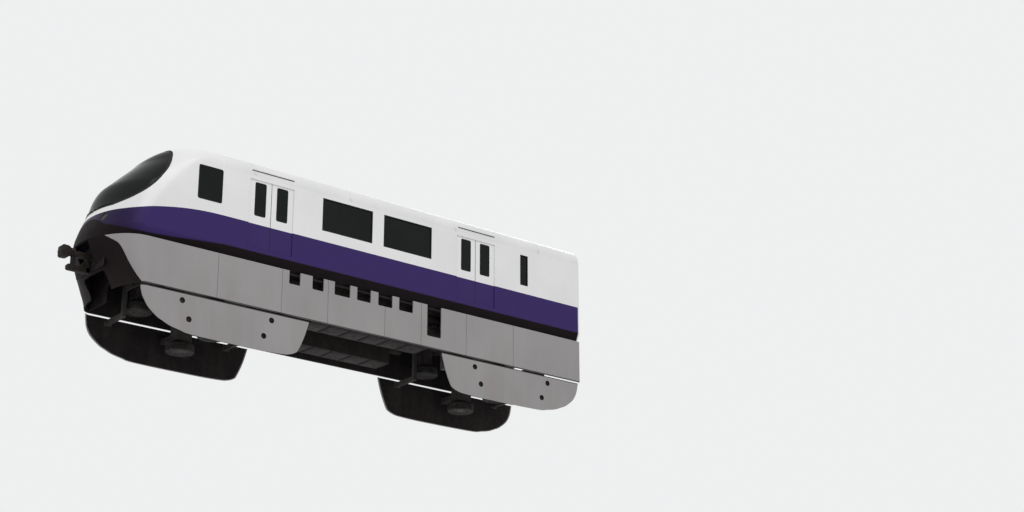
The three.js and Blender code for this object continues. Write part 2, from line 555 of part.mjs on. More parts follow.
const BOGIES = [['front', BOGIE_CENTRES.front, 1], ['rear', BOGIE_CENTRES.rear, -1]];
for (const [bogieName, centre, outward] of BOGIES) {
  const bogie = new THREE.Group();
  bogie.position.x = centre;
  car.add(bogie);
  place(bogie, `bogie_frame_${bogieName}`, bogieFrame(centre), MATERIALS.steel);

  for (const [axleName, end] of [['fore', 1], ['aft', -1]]) {
    place(bogie, `axle_${bogieName}_${axleName}`, axleShape, MATERIALS.rubber,
      [end * TYRE.wheelbase / 2, 0, TYRE.radius]);
    for (const [sideName, side] of [['left', 1], ['right', -1]]) {
      place(bogie, `guide_wheel_${bogieName}_${axleName}_${sideName}`, guideShape, MATERIALS.rubber,
        [end * GUIDE.x, side * GUIDE_Y, GUIDE.z]).rotation.x = Math.PI / 2;
    }
  }
  for (const [sideName, side] of [['left', 1], ['right', -1]]) {
    place(bogie, `stabiliser_${bogieName}_${sideName}`, guideShape, MATERIALS.rubber,
      [0, side * GUIDE_Y, GUIDE.stabiliserZ]).rotation.x = Math.PI / 2;
    const region = prism('y', outline(COVER_OUTLINE.map(([x, z]) => [centre + outward * x, z])),
      side > 0 ? 10 : -2000, side > 0 ? 2000 : -10);
    const shell = cut(skirtBody(0), skirtBody(SKIRT.skin));
    const holes = COVER_HOLES.map(([x, z]) =>
      bar('y', COVER.holeRadius, -2000, 2000, [centre + outward * x, z], 12));
    const cover = cut(shell.intersect(region), ...holes).translate(-centre, 0, 0);
    place(bogie, `bogie_cover_${bogieName}_${sideName}`, cover, MATERIALS.grey);
  }
}

export default car;
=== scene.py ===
"""The cab car of a monorail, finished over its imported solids.

Metres. +X is forward, to the nose, +Y is the car's left side and +Z is up. The origin is under the middle of
the car, at the level on which its running tyres roll. The camera looks up at the car from far below, and the
scene's floor lies under the camera."""

import math
from contextlib import contextmanager

import bpy
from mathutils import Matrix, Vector


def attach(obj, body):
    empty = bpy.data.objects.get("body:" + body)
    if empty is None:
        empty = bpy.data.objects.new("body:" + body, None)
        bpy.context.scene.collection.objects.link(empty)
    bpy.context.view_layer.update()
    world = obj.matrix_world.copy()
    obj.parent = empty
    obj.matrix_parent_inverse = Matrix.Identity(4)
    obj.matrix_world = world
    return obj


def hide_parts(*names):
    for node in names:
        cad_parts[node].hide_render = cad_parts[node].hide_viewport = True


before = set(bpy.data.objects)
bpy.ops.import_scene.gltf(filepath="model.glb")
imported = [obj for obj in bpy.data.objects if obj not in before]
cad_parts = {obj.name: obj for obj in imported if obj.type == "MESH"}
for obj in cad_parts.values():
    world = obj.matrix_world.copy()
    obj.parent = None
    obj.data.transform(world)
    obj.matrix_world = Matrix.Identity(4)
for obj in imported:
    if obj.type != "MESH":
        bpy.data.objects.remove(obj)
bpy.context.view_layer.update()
bpy.ops.object.select_all(action="DESELECT")

# Camera, light and floor

CAMERA_PLACE = Vector((26.48, 40.87, -15.65))
CAMERA_LOOK = Vector((-0.586, -0.734, 0.343))
LENS, SENSOR_WIDTH = 68.43, 36
SIGHT_NEAR, SIGHT_FAR = 0.5, 900
GROUND_Z, GROUND_SIZE = -16.6, 900

bpy.ops.object.camera_add(location=CAMERA_PLACE)
camera = bpy.context.object
camera.rotation_mode = "QUATERNION"
camera.rotation_quaternion = CAMERA_LOOK.to_track_quat("-Z", "Y")
camera.data.lens = LENS
camera.data.sensor_width = SENSOR_WIDTH
camera.data.clip_start = SIGHT_NEAR
camera.data.clip_end = SIGHT_FAR
bpy.context.scene.camera = camera


def soft_light(name, place, aim, size, power, colour):
    bpy.ops.object.light_add(type="AREA", location=place)
    lamp = bpy.context.object
    lamp.name = name
    lamp.rotation_euler = (Vector(aim) - Vector(place)).to_track_quat("-Z", "Y").to_euler()
    lamp.data.size = size
    lamp.data.energy = power
    lamp.data.color = colour


soft_light("high_softbox", (9, 16, 22), (0, 0, 1.5), 16, 1500, (1.0, 0.985, 0.96))
soft_light("rear_softbox", (-22, -14, 14), (-2, 0, 1.5), 14, 1500, (0.94, 0.97, 1.0))

world = bpy.data.worlds.new("overcast")
bpy.context.scene.world = world
world.use_nodes = True
overcast = world.node_tree.nodes["Background"].inputs
overcast["Color"].default_value = (0.86, 0.865, 0.87, 1)
overcast["Strength"].default_value = 1.0
bpy.context.scene.view_settings.view_transform = "Standard"

# Finishes

WHITE = (0.78, 0.775, 0.775)
BLUE = (0.040, 0.024, 0.116)
# Black paint. On the nose, the tucked edge under the band and the valance, this black is also painted shade.
BLACK = (0.009, 0.006, 0.007)
EDGE_BLACK = (0.012, 0.011, 0.011)
ROAD_DUST = (0.20, 0.175, 0.155)
BAND_TOP = 1.765
# The black rubber edges along the joint between the skirts and the bogie covers.
RUBBER_LOW, RUBBER_TOP = -0.503, -0.406
# Half the blur of a painted edge.
BLUR = 0.0015
# The nose's black lower part, part paint and part painted shade: its top edge in side view, X then Z.
BLACK_LINE = [(4.0, 1.01), (4.6, 0.97), (5.6, 0.89), (6.33, 0.87), (6.75, 0.95), (6.95, 1.08), (7.03, 1.5),
              (7.4, 1.9)]


class Finish:
    """A material, with short words for its nodes."""

    def __init__(self, name, **sockets):
        self.material = bpy.data.materials.new(name)
        self.material.use_nodes = True
        self.nodes = self.material.node_tree.nodes
        self.links = self.material.node_tree.links
        self.shader = self.nodes["Principled BSDF"]
        self.place = self.nodes.new("ShaderNodeTexCoord").outputs["Object"]
        for socket, value in sockets.items():
            self.shader.inputs[socket.replace("_", " ").title().replace("Ior", "IOR")].default_value = value

    def feed(self, socket, value):
        if isinstance(value, bpy.types.NodeSocket):
            self.links.new(value, socket)
        else:
            socket.default_value = value

    def node(self, kind, **inputs):
        made = self.nodes.new(kind)
        for key, value in inputs.items():
            self.feed(made.inputs[key.title()], value)
        return made.outputs[0]

    def noise(self, scale, detail=3.0, rough=0.55, stretch=(1, 1, 1)):
        """Cloudy values from 0 to 1. A scale of 1 has spots about a metre wide."""
        where = self.node("ShaderNodeMapping", vector=self.place, scale=stretch)
        return self.node("ShaderNodeTexNoise", vector=where, scale=scale, detail=detail, roughness=rough)

    def spread(self, value, low, high, to_low=0.0, to_high=1.0, soft=False):
        """Maps a value from one range to another, and holds it at the ends."""
        made = self.nodes.new("ShaderNodeMapRange")
        made.interpolation_type = "SMOOTHSTEP" if soft else "LINEAR"
        self.feed(made.inputs["Value"], value)
        for key, number in zip(("From Min", "From Max", "To Min", "To Max"), (low, high, to_low, to_high)):
            self.feed(made.inputs[key], number)
        return made.outputs["Result"]

    def sums(self, kind, a, b):
        made = self.nodes.new("ShaderNodeMath")
        made.operation = kind
        made.use_clamp = kind == "MULTIPLY"
        self.feed(made.inputs[0], a)
        self.feed(made.inputs[1], b)
        return made.outputs[0]

    def blend(self, share, a, b):
        """A mix of two colours, each a socket or red, green and blue."""
        made = self.nodes.new("ShaderNodeMix")
        made.data_type = "RGBA"
        self.feed(made.inputs["Factor"], share)
        for socket, colour in ((made.inputs[6], a), (made.inputs[7], b)):
            self.feed(socket, colour if isinstance(colour, bpy.types.NodeSocket) else (*colour, 1.0))
        return made.outputs[2]

    def axis(self, name):
        made = self.nodes.new("ShaderNodeSeparateXYZ")
        self.links.new(self.place, made.inputs[0])
        return made.outputs[name]

    def bump(self, height, strength, distance):
        made = self.nodes.new("ShaderNodeBump")
        made.inputs["Strength"].default_value = strength
        made.inputs["Distance"].default_value = distance
        self.links.new(height, made.inputs["Height"])
        self.links.new(made.outputs["Normal"], self.shader.inputs["Normal"])

    def mottle(self, scale, detail, low, high, rough=0.55, window=(0.3, 0.7)):
        """Cloudy values between two limits."""
        return self.spread(self.noise(scale, detail, rough), *window, low, high)

    def drift(self, colour, shade):
        """A broad drift of tone over a painted panel."""
        return self.blend(self.mottle(0.55, 2, 0.0, 1.0, window=(0.35, 0.65)), colour, shade)

    def road_film(self, colour, most, top=1.2):
        """Grey road film over a paint: heavier low down, in faint upright runs."""
        runs = self.noise(2.2, 5, 0.6, (1.0, 1.0, 0.22))
        low_down = self.spread(self.axis("Z"), top, -1.5, 0.15, 1.0, soft=True)
        share = self.sums("MULTIPLY", self.spread(runs, 0.42, 0.78, 0.0, most), low_down)
        return self.blend(share, colour, ROAD_DUST)

    def wear(self, colour, rough):
        self.feed(self.shader.inputs["Base Color"], colour)
        self.feed(self.shader.inputs["Roughness"], rough)
        return self.material

    def enamel(self, tone, low, high):
        """Ends a gloss paint: its tone, a fine orange peel, and patches of roughness between two limits."""
        self.bump(self.noise(140, 2), 0.06, 0.002)
        return self.wear(tone, self.mottle(3.5, 4, low, high))


def gloss_paint(name, colour, shade, rough, film, coat=0.25, gloss=0.5):
    """Two-pack gloss paint over metal."""
    paint = Finish(name, coat_weight=coat, coat_roughness=0.12, specular_ior_level=gloss)
    return paint.enamel(paint.road_film(paint.drift(colour, shade), film), rough, rough + 0.14)


def skirt_paint():
    """The skirts' grey, with the black rubber edges along their joint with the bogie covers."""
    paint = Finish("skirt_grey", coat_weight=0.25, coat_roughness=0.12)
    # The skirts' grey is set darker than the paint alone, as painted shade for the dimmer light low on the
    # car's side.
    grey = paint.road_film(paint.drift((0.292, 0.276, 0.277), (0.268, 0.255, 0.256)), 0.42)
    height = paint.axis("Z")
    rubber_edge = paint.sums("MULTIPLY", paint.spread(height, RUBBER_LOW - BLUR, RUBBER_LOW + BLUR),
                             paint.spread(height, RUBBER_TOP + BLUR, RUBBER_TOP - BLUR))
    return paint.enamel(paint.blend(rubber_edge, grey, EDGE_BLACK), 0.38, 0.52)


def door_paint():
    """The doors' paint: white, and blue below the band's top edge."""
    paint = Finish("door_paint", specular_ior_level=0.08)
    in_band = paint.spread(paint.axis("Z"), BAND_TOP + BLUR, BAND_TOP - BLUR)
    return paint.enamel(paint.road_film(paint.blend(in_band, WHITE, BLUE), 0.14), 0.26, 0.38)


def side_paint():
    """The lower side panels' paint: blue, and black on the tucked-in edge below, part dark stripe and part
    painted shade of the tuck.
    """
    paint = Finish("side_paint", specular_ior_level=0.07)
    # Below the band the blue turns black: a dark stripe, and painted shade of the tucked-in edge that faces
    # down.
    tone = paint.blend(paint.spread(paint.axis("Z"), 1.01, 1.035), BLACK, BLUE)
    return paint.enamel(paint.road_film(tone, 0.04), 0.24, 0.36)


def nose_paint():
    """The nose panel's paint: blue, darkened towards the tip as painted shade, and black below a line that
    rises to the tip and round the tip, part paint and part painted shade.
    """
    paint = Finish("nose_paint", specular_ior_level=0.07)
    line = paint.nodes.new("ShaderNodeFloatCurve")
    line_back, line_front, height_unit = BLACK_LINE[0][0], BLACK_LINE[-1][0], 2
    paint.links.new(paint.spread(paint.axis("X"), line_back, line_front), line.inputs["Value"])
    curve = line.mapping.curves[0].points
    places = [((x - line_back) / (line_front - line_back), z / height_unit) for x, z in BLACK_LINE]
    curve[0].location = places[0]
    curve[1].location = places[-1]
    for place in places[1:-1]:
        curve.new(*place)
    line.mapping.update()
    # The curve holds half the height, because it ends at 1.
    black_to = paint.sums("ADD", line.outputs["Value"], line.outputs["Value"])
    above = paint.sums("SUBTRACT", paint.axis("Z"), black_to)
    # The blue darkens towards the tip: painted shade of the nose front that faces forward and down.
    blue = paint.blend(paint.spread(paint.axis("X"), 6.1, 6.7, 0.0, 0.62, soft=True), BLUE, BLACK)
    # Black below the line: part black paint, part painted shade of the nose's turn-under.
    tone = paint.blend(paint.spread(above, -0.015, 0.03, soft=True), BLACK, blue)
    paint.bump(paint.noise(140, 2), 0.06, 0.002)
    rough = paint.sums("ADD", paint.mottle(3.5, 4, 0.24, 0.34), paint.spread(above, -0.015, 0.03, 0.3, 0.0))
    return paint.wear(paint.road_film(tone, 0.04), rough)


def rough_metal(name, colour, shade, rough, metal, film, grain=60.0, gloss=0.5):
    """Painted or bare iron: blotchy, a little pitted and dusty."""
    iron = Finish(name, metallic=metal, specular_ior_level=gloss)
    blotch = iron.mottle(6.0, 6, 0.0, 1.0, 0.62, (0.35, 0.68))
    iron.bump(iron.noise(grain, 4, 0.65), 0.25, 0.003)
    return iron.wear(iron.road_film(iron.blend(blotch, colour, shade), film, 1.6),
                     iron.mottle(9.0, 5, rough - 0.1, rough + 0.12))


def rubber(name, colour, dust, rough, grain=90.0):
    made = Finish(name, specular_ior_level=0.2)
    bloom = made.mottle(5.0, 5, 0.0, 1.0, 0.6, (0.42, 0.75))
    made.bump(made.noise(grain, 3, 0.6), 0.3, 0.0015)
    return made.wear(made.blend(bloom, colour, dust), made.mottle(14, 3, rough - 0.08, rough + 0.06))


def tinted_glass(name, colour, shade, clear, gloss=0.05):
    """Laminated glass, more or less clear, with a film of dust."""
    glass = Finish(name, transmission_weight=clear, ior=1.5, specular_ior_level=gloss)
    tone = glass.blend(glass.mottle(1.6, 3, 0.0, 1.0, window=(0.35, 0.7)), colour, shade)
    glass.bump(glass.noise(2.2, 1), 0.02, 0.004)
    return glass.wear(tone, glass.mottle(7.0, 5, 0.03, 0.10, 0.6, (0.3, 0.75)))


def moulded(name, colour, shade, rough, grain):
    """Moulded plastic or laminate: a fine grain and a slight drift of tone."""
    made = Finish(name)
    tone = made.blend(made.mottle(2.4, 3, 0.0, 1.0, window=(0.35, 0.65)), colour, shade)
    made.bump(made.noise(grain, 2, 0.5), 0.2, 0.0008)
    return made.wear(tone, made.mottle(11, 3, rough - 0.05, rough + 0.07))


def ground_finish():
    made = Finish("pale_ground")
    tone = made.mottle(0.12, 3, 0.0, 1.0, window=(0.35, 0.65))
    return made.wear(made.blend(tone, (0.80, 0.805, 0.81), (0.76, 0.765, 0.77)), 0.9)


# Columns: name, colour, shade, roughness, road film, then the coat's weight and the gloss.
body_white = gloss_paint("body_white", WHITE, (0.73, 0.725, 0.73), 0.26, 0.16)
roof_white = gloss_paint("roof_white", (0.76, 0.756, 0.758), (0.69, 0.69, 0.695), 0.36, 0.25)
band_blue = gloss_paint("band_blue", BLUE, (0.046, 0.028, 0.128), 0.24, 0.05, 0.0, 0.12)
# The valance's near-black is dark paint and painted shade of the raked nose front that faces down.
valance_dark = gloss_paint("valance_dark", BLACK, (0.012, 0.008, 0.008), 0.45, 0.05, 0.0, 0.06)
skirt_grey = skirt_paint()
door_finish = door_paint()
nose_blue = nose_paint()
side_blue = side_paint()
# Columns: name, colour, shade, roughness, metal, road film, then the grain and the gloss.
# Near black: black paint, darkened further as painted shade for the boxes, lids and tanks under the car.
underframe_dark = rough_metal("underframe_dark", (0.016, 0.013, 0.013), (0.026, 0.022, 0.020), 0.7, 0.0, 0.12,
                              gloss=0.2)
bogie_steel = rough_metal("bogie_steel", (0.045, 0.042, 0.042), (0.034, 0.029, 0.026), 0.60, 0.1, 0.25,
                          gloss=0.3)
coupler_iron = rough_metal("coupler_iron", (0.013, 0.011, 0.011), (0.026, 0.019, 0.015), 0.6, 0.0, 0.05, 90,
                           0.15)
bright_steel = rough_metal("bright_steel", (0.46, 0.46, 0.47), (0.34, 0.33, 0.33), 0.36, 0.9, 0.15, 160)
# A near-black coat: painted shade on the liners, shelves, bulkhead and back plate in the shade under and
# inside the car.
painted_shade_coat = rough_metal("painted_shade_coat", (0.014, 0.012, 0.012), (0.022, 0.019, 0.018), 0.85, 0.0, 0.1,
                             35, 0.1)
rail_steel = rough_metal("rail_steel", (0.62, 0.62, 0.63), (0.54, 0.54, 0.55), 0.30, 1.0, 0.0, 220)
# Columns: name, colour, dust, roughness, grain.
tyre_black = rubber("tyre_black", (0.016, 0.015, 0.015), (0.050, 0.045, 0.041), 0.82)
bellows_rubber = rubber("bellows_rubber", (0.024, 0.024, 0.026), (0.045, 0.044, 0.045), 0.72, 300)
seal_black = rubber("seal_black", (0.010, 0.010, 0.011), (0.020, 0.020, 0.021), 0.6, 200)
# Columns: name, colour, shade, clearness, gloss.
window_glass = tinted_glass("window_glass", (0.005, 0.008, 0.007), (0.008, 0.011, 0.010), 0.2)
windshield_glass = tinted_glass("windshield_glass", (0.009, 0.012, 0.010), (0.013, 0.015, 0.013), 0.25, 0.018)
lamp_glass = tinted_glass("lamp_glass", (0.045, 0.045, 0.05), (0.06, 0.06, 0.065), 0.7)
strip_light = tinted_glass("strip_light", (0.75, 0.75, 0.72), (0.70, 0.70, 0.68), 0.1)
# Columns: name, colour, shade, roughness, grain.
interior_panel = moulded("interior_panel", (0.60, 0.60, 0.58), (0.55, 0.55, 0.535), 0.5, 260)
cab_fittings = moulded("cab_fittings", (0.035, 0.036, 0.040), (0.048, 0.048, 0.052), 0.55, 320)
seat_plastic = moulded("seat_plastic", (0.040, 0.085, 0.28), (0.034, 0.072, 0.24), 0.42, 240)
roof_unit_grey = moulded("roof_unit_grey", (0.42, 0.425, 0.43), (0.36, 0.36, 0.365), 0.6, 120)
floor_grey = moulded("floor_grey", (0.13, 0.13, 0.135), (0.10, 0.10, 0.105), 0.6, 90)

bpy.ops.mesh.primitive_plane_add(size=GROUND_SIZE, location=(0, 0, GROUND_Z))
ground = bpy.context.object
ground.name = "ground"
ground.data.materials.append(ground_finish())

FINISHES = {
    "body_white": body_white, "band_blue": band_blue, "skirt_grey": skirt_grey, "roof_grey": roof_unit_grey,
    "valance_dark": valance_dark, "underframe_dark": underframe_dark, "bogie_steel": bogie_steel,
    "coupler_iron": coupler_iron, "tyre_black": tyre_black, "bellows_rubber": bellows_rubber,
    "window_glass": window_glass, "windshield_glass": windshield_glass, "lamp_glass": lamp_glass,
    "interior_panel": interior_panel, "cab_fittings": cab_fittings, "seat_plastic": seat_plastic,
    "rail_steel": rail_steel,
}
for name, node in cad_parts.items():
    wanted = FINISHES[node.material_slots[0].material.name]
    if name.startswith("door_"):
        wanted = door_finish
    if name.startswith("band_panel_"):
        wanted = side_blue
    node.material_slots[0].material = wanted

# Modelling helpers

SIDES = (("left", 1), ("right", -1))
FORE_AFT = (("fore", 1), ("aft", -1))
WELD = 1e-5
# A point from its two measures across an axis and its distance along it.
PLANES = {
    "x": lambda u, v, w: Vector((w, u, v)),
    "y": lambda u, v, w: Vector((u, w, v)),
    "z": lambda u, v, w: Vector((u, v, w)),
}


def only(piece):
    """Selects one piece and nothing else."""
    bpy.ops.object.select_all(action="DESELECT")
    piece.select_set(True)
    bpy.context.view_layer.objects.active = piece


@contextmanager
def editing(piece):
    """Opens a piece for editing with all of it selected, and closes it again."""
    only(piece)
    bpy.ops.object.mode_set(mode="EDIT")
    bpy.ops.mesh.select_all(action="SELECT")
    yield
    bpy.ops.object.mode_set(mode="OBJECT")


def face_out():
    """Turns every face of the piece being edited outward."""
    bpy.ops.mesh.select_all(action="SELECT")
    bpy.ops.mesh.normals_make_consistent(inside=False)


def started(name):
    """Names the primitive just added, and puts its place into its mesh."""
    piece = bpy.context.object
    piece.name = name
    bpy.ops.object.transform_apply(location=True, rotation=True, scale=True)
    return piece


def drop(*pieces):
    """Throws away pieces that were only patterns or tools."""
    for piece in pieces:
        bpy.data.objects.remove(piece, do_unlink=True)


def apply(piece, kind, **settings):
    only(piece)
    modifier = piece.modifiers.new(kind, kind)
    for key, value in settings.items():
        setattr(modifier, key, value)
    bpy.ops.object.modifier_apply(modifier=modifier.name)
    return piece


def eased(piece, width, segments, over):
    """Rounds over the edges that turn by more than an angle in degrees."""
    return apply(piece, "BEVEL", width=width, segments=segments, limit_method="ANGLE",
                 angle_limit=math.radians(over))


def outward(piece):
    """Merges doubles and turns every face outward."""
    with editing(piece):
        bpy.ops.mesh.remove_doubles(threshold=WELD)
        face_out()
    return piece


def box(name, low, high, edge=0.004, segments=2):
    """A box between two corners, given in any order, with its edges rounded over."""
    low, high = Vector(low), Vector(high)
    bpy.ops.object.select_all(action="DESELECT")
    bpy.ops.mesh.primitive_cube_add(size=1, location=(low + high) / 2, scale=[abs(v) for v in high - low])
    piece = started(name)
    if edge:
        apply(piece, "BEVEL", width=edge, segments=segments, limit_method="NONE")
    return piece


def plate(name, outline, axis, low, high, edge=0.0, segments=2):
    """An outline pulled into a solid along an axis, from low to high."""
    bpy.ops.object.select_all(action="DESELECT")
    bpy.ops.mesh.primitive_circle_add(vertices=len(outline), fill_type="NGON")
    piece = started(name)
    to = PLANES[axis]
    for vertex, (u, v) in zip(piece.data.vertices, outline):
        vertex.co = to(u, v, low)
    with editing(piece):
        bpy.ops.mesh.extrude_region_move(TRANSFORM_OT_translate={"value": to(0, 0, high - low)})
        face_out()
    return eased(piece, edge, segments, 40) if edge else piece


def turned(name, section, axis, centre, steps=32):
    """A closed section, as pairs of radius and distance along the axis, spun once round the axis."""
    bpy.ops.object.select_all(action="DESELECT")
    bpy.ops.mesh.primitive_circle_add(vertices=len(section), fill_type="NOTHING")
    piece = started(name)
    centre = Vector(centre)
    along = PLANES[axis](0, 0, 1)
    across = PLANES[axis](0, 1, 0)
    for vertex, (radius, distance) in zip(piece.data.vertices, section):
        vertex.co = centre + across * radius + along * distance
    with editing(piece):
        bpy.ops.mesh.spin(steps=steps, angle=2 * math.pi, center=centre, axis=along)
    return outward(piece)


def bar(name, axis, radius, low, high, middle, sides=20, edge=0.0):
    """A round bar along an axis with its ends rounded over. Its middle is given across the axis."""
    depth = abs(high - low)
    turn = {"x": (0, math.pi / 2, 0), "y": (math.pi / 2, 0, 0), "z": (0, 0, 0)}[axis]
    bpy.ops.object.select_all(action="DESELECT")
    bpy.ops.mesh.primitive_cylinder_add(vertices=sides, radius=radius, depth=depth,
                                        location=PLANES[axis](*middle, (low + high) / 2), rotation=turn)
    return eased(started(name), edge or min(radius, depth) * 0.18, 2, 50)


def pipe(name, points, radius, sides=4):
    """A bent pipe through points."""
    bpy.ops.object.select_all(action="DESELECT")
    bpy.ops.curve.primitive_bezier_curve_add()
    piece = bpy.context.object
    piece.name = name
    curve = piece.data
    curve.splines.clear()
    spline = curve.splines.new("POLY")
    spline.points.add(len(points) - 1)
    for point, place in zip(spline.points, points):
        point.co = (*place, 1)
    curve.bevel_depth = radius
    curve.bevel_resolution = sides
    curve.use_fill_caps = True
    bpy.ops.object.convert(target="MESH")
    return outward(started(name))


def rounded(u0, u1, v0, v1, radius, steps=6):
    """The outline of a rectangle with round corners."""
    points = []
    for cu, cv, start in ((u1 - radius, v1 - radius, 0), (u0 + radius, v1 - radius, 90),
                          (u0 + radius, v0 + radius, 180), (u1 - radius, v0 + radius, 270)):
        for i in range(steps + 1):
            angle = math.radians(start + 90 * i / steps)
            points.append((cu + radius * math.cos(angle), cv + radius * math.sin(angle)))
    return points


def shrunk(area, margin, radius, steps=6):
    """The outline of an area, drawn in by a margin on every side, or let out by one below zero."""
    u0, u1, v0, v1 = area
    return rounded(u0 + margin, u1 - margin, v0 + margin, v1 - margin, radius, steps)


def smooth_line(points, steps=5):
    """The smooth line through points."""
    line = []
    for i in range(len(points) - 1):
        before, here = points[max(i - 1, 0)], points[i]
        there, after = points[i + 1], points[min(i + 2, len(points) - 1)]
        for k in range(steps):
            t = k / steps
            line.append(tuple(
                0.5 * (2 * b + (c - a) * t + (2 * a - 5 * b + 4 * c - d) * t * t
                       + (3 * b - a - 3 * c + d) * t ** 3)
                for a, b, c, d in zip(before, here, there, after)))
    return line + [tuple(points[-1])]


def between(low, high, count):
    """Even steps from low to high."""
    return [low + (high - low) * i / count for i in range(count + 1)]


def across_car(left):
    """An outline across the car: its left half and then the mirror image of that."""
    return left + [(-y, z) for y, z in reversed(left)]


def both_faces(front):
    """A turned section: the mirror image of its front half and then the front half."""
    return [(radius, -distance) for radius, distance in reversed(front)] + front


def merge(name, pieces):
    """Joins pieces into one."""
    only(pieces[0])
    for piece in pieces:
        piece.select_set(True)
    bpy.ops.object.join()
    pieces[0].name = name
    return pieces[0]


def copied(piece, name, move=(0, 0, 0), flip=None):
    """A copy with its own mesh, moved, or mirrored in the plane through the origin across an axis."""
    only(piece)
    bpy.ops.object.duplicate()
    twin = bpy.context.object
    twin.name = name
    if flip:
        mirror = [-1 if axis == flip else 1 for axis in "xyz"]
        bpy.ops.transform.resize(value=mirror, center_override=(0, 0, 0))
    bpy.ops.transform.translate(value=move)
    bpy.ops.object.transform_apply(location=True, rotation=True, scale=True)
    if flip:
        with editing(twin):
            face_out()
    return twin


def on_side(piece, side):
    """A piece made for the left side, or its mirror image, which takes its name, for the right side."""
    if side > 0:
        return piece
    name = piece.name
    twin = copied(piece, name, flip="y")
    drop(piece)
    twin.name = name
    return twin


def both_halves(piece, name):
    """A piece and its mirror image across the car's middle plane, as one."""
    return merge(name, [piece, copied(piece, name, flip="y")])


def carve(piece, *tools, keep=False):
    """Cuts tools out of a piece, or keeps only what lies in them, and throws the tools away."""
    for tool in tools:
        apply(piece, "BOOLEAN", object=tool, operation="INTERSECT" if keep else "DIFFERENCE", solver="EXACT")
        drop(tool)
    return piece


def bolt_heads(axis, places, radius, low, high):
    """Hexagonal bolt heads, at places given across their axis."""
    return merge("bolts", [bar("bolt", axis, radius, low, high, place, 6, radius * 0.12) for place in places])


def bolt_circle(axis, middle, ring_radius, count, radius, low, high):
    """Bolt heads in a ring round an axis."""
    angles = [2 * math.pi * i / count for i in range(count)]
    places = [(middle[0] + ring_radius * math.cos(a), middle[1] + ring_radius * math.sin(a)) for a in angles]
    return bolt_heads(axis, places, radius, low, high)


def finished(piece, finish, slot, *replaces, body="carbody"):
    """The last step of every piece: smooth shading, its finish, and the CAD body that it rides on."""
    only(piece)
    bpy.ops.object.shade_smooth_by_angle(angle=math.radians(32))
    piece.data.materials.clear()
    piece.data.materials.append(finish)
    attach(piece, body)
    if replaces:
        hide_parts(*replaces)


# The body's form, in the solids' own numbers

HALF_WIDTH = 1.45
REAR_X, CAB_X = -7.4, 4.12
TUCK_LOW, TUCK_HIGH, TUCK = 0.745, 1.0, 0.11
CORNER_Y, CORNER_Z, CORNER_RADIUS, CROWN_ANGLE = 1.0, 3.06, 0.45, math.radians(68)
CROWN_RADIUS = CORNER_Y / math.cos(CROWN_ANGLE) + CORNER_RADIUS
CROWN_Z = CORNER_Z + (CORNER_RADIUS - CROWN_RADIUS) * math.sin(CROWN_ANGLE)
ROOF_TOP = CROWN_Z + CROWN_RADIUS

# Columns: height, tip of the nose, start of its taper, squareness of its plan (2 is an ellipse).
NOSE_FORM = [
    (0.57, 7.24, 6.15, 2.0), (0.79, 7.18, 6.15, 2.0), (1.0, 7.124, 6.11, 2.0), (1.22, 7.052, 6.03, 2.0),
    (1.44, 6.97, 5.95, 2.0), (1.7, 6.87, 5.82, 2.0), (1.99, 6.798, 5.62, 2.0), (2.24, 6.69, 5.42, 2.0),
    (2.48, 6.464, 5.24, 2.0), (2.76, 6.18, 5.03, 2.0), (3.06, 5.878, 4.71, 2.0), (3.166, 5.785, 4.56, 2.15),
    (3.266, 5.68, 4.43, 2.4), (3.354, 5.567, 4.3, 2.7), (3.426, 5.445, 4.255, 3.0), (3.477, 5.3, 4.25, 3.3),
    (3.56, 5.0, 4.24, 3.8), (3.622, 4.82, 4.22, 4.2), (3.66, 4.66, 4.2, 4.5), (3.695, 4.43, 4.18, 4.8),
    (3.72, 4.2, 4.14, 5.0),
]
SKIRT_FORM = [(-1.6, 6.5, 6.05, 2.0), (-0.43, 6.56, 6.1, 2.0), (0.0, 6.8, 6.13, 2.0), (0.39, 7.03, 6.15, 2.0),
              (0.79, 7.19, 6.15, 2.0)]
SKIRT_HALF, SKIRT_SKIN = 1.49, 0.03
# Columns of a shell's grid along the straight side behind the nose.
BACK_COLUMNS = 4


def form_at(form, height):
    """The row of a form at any height, smoothly between its rows."""
    k = 0
    while k < len(form) - 2 and form[k + 1][0] < height:
        k += 1
    here, there = form[k], form[k + 1]
    span = there[0] - here[0]
    t = (height - here[0]) / span
    row = []
    for c in (1, 2, 3):
        def slope(i):
            if i in (0, len(form) - 1):
                j = min(i, len(form) - 2)
                return (form[j + 1][c] - form[j][c]) / (form[j + 1][0] - form[j][0])
            down = (form[i][c] - form[i - 1][c]) / (form[i][0] - form[i - 1][0])
            up = (form[i + 1][c] - form[i][c]) / (form[i + 1][0] - form[i][0])
            return 0.0 if down * up <= 0 else 2 * down * up / (down + up)
        a, b = slope(k) * span, slope(k + 1) * span
        row.append((2 * t ** 3 - 3 * t ** 2 + 1) * here[c] + (t ** 3 - 2 * t ** 2 + t) * a
                   + (3 * t ** 2 - 2 * t ** 3) * there[c] + (t ** 3 - t ** 2) * b)
    return row


def half_width(height):
    """Half the body's width at a height, over the tucked-in edge, the upright side and the roof's curve."""
    if height < TUCK_HIGH:
        return HALF_WIDTH - TUCK * min(1.0, (TUCK_HIGH - height) / (TUCK_HIGH - TUCK_LOW))
    if height <= CORNER_Z:
        return HALF_WIDTH
    if height < CORNER_Z + CORNER_RADIUS * math.sin(CROWN_ANGLE):
        return CORNER_Y + math.sqrt(CORNER_RADIUS ** 2 - (height - CORNER_Z) ** 2)
    return math.sqrt(max(CROWN_RADIUS ** 2 - (height - CROWN_Z) ** 2, 0))


def skirt_width(_):
    """Half the skirts' width, the same at every height."""
    return SKIRT_HALF


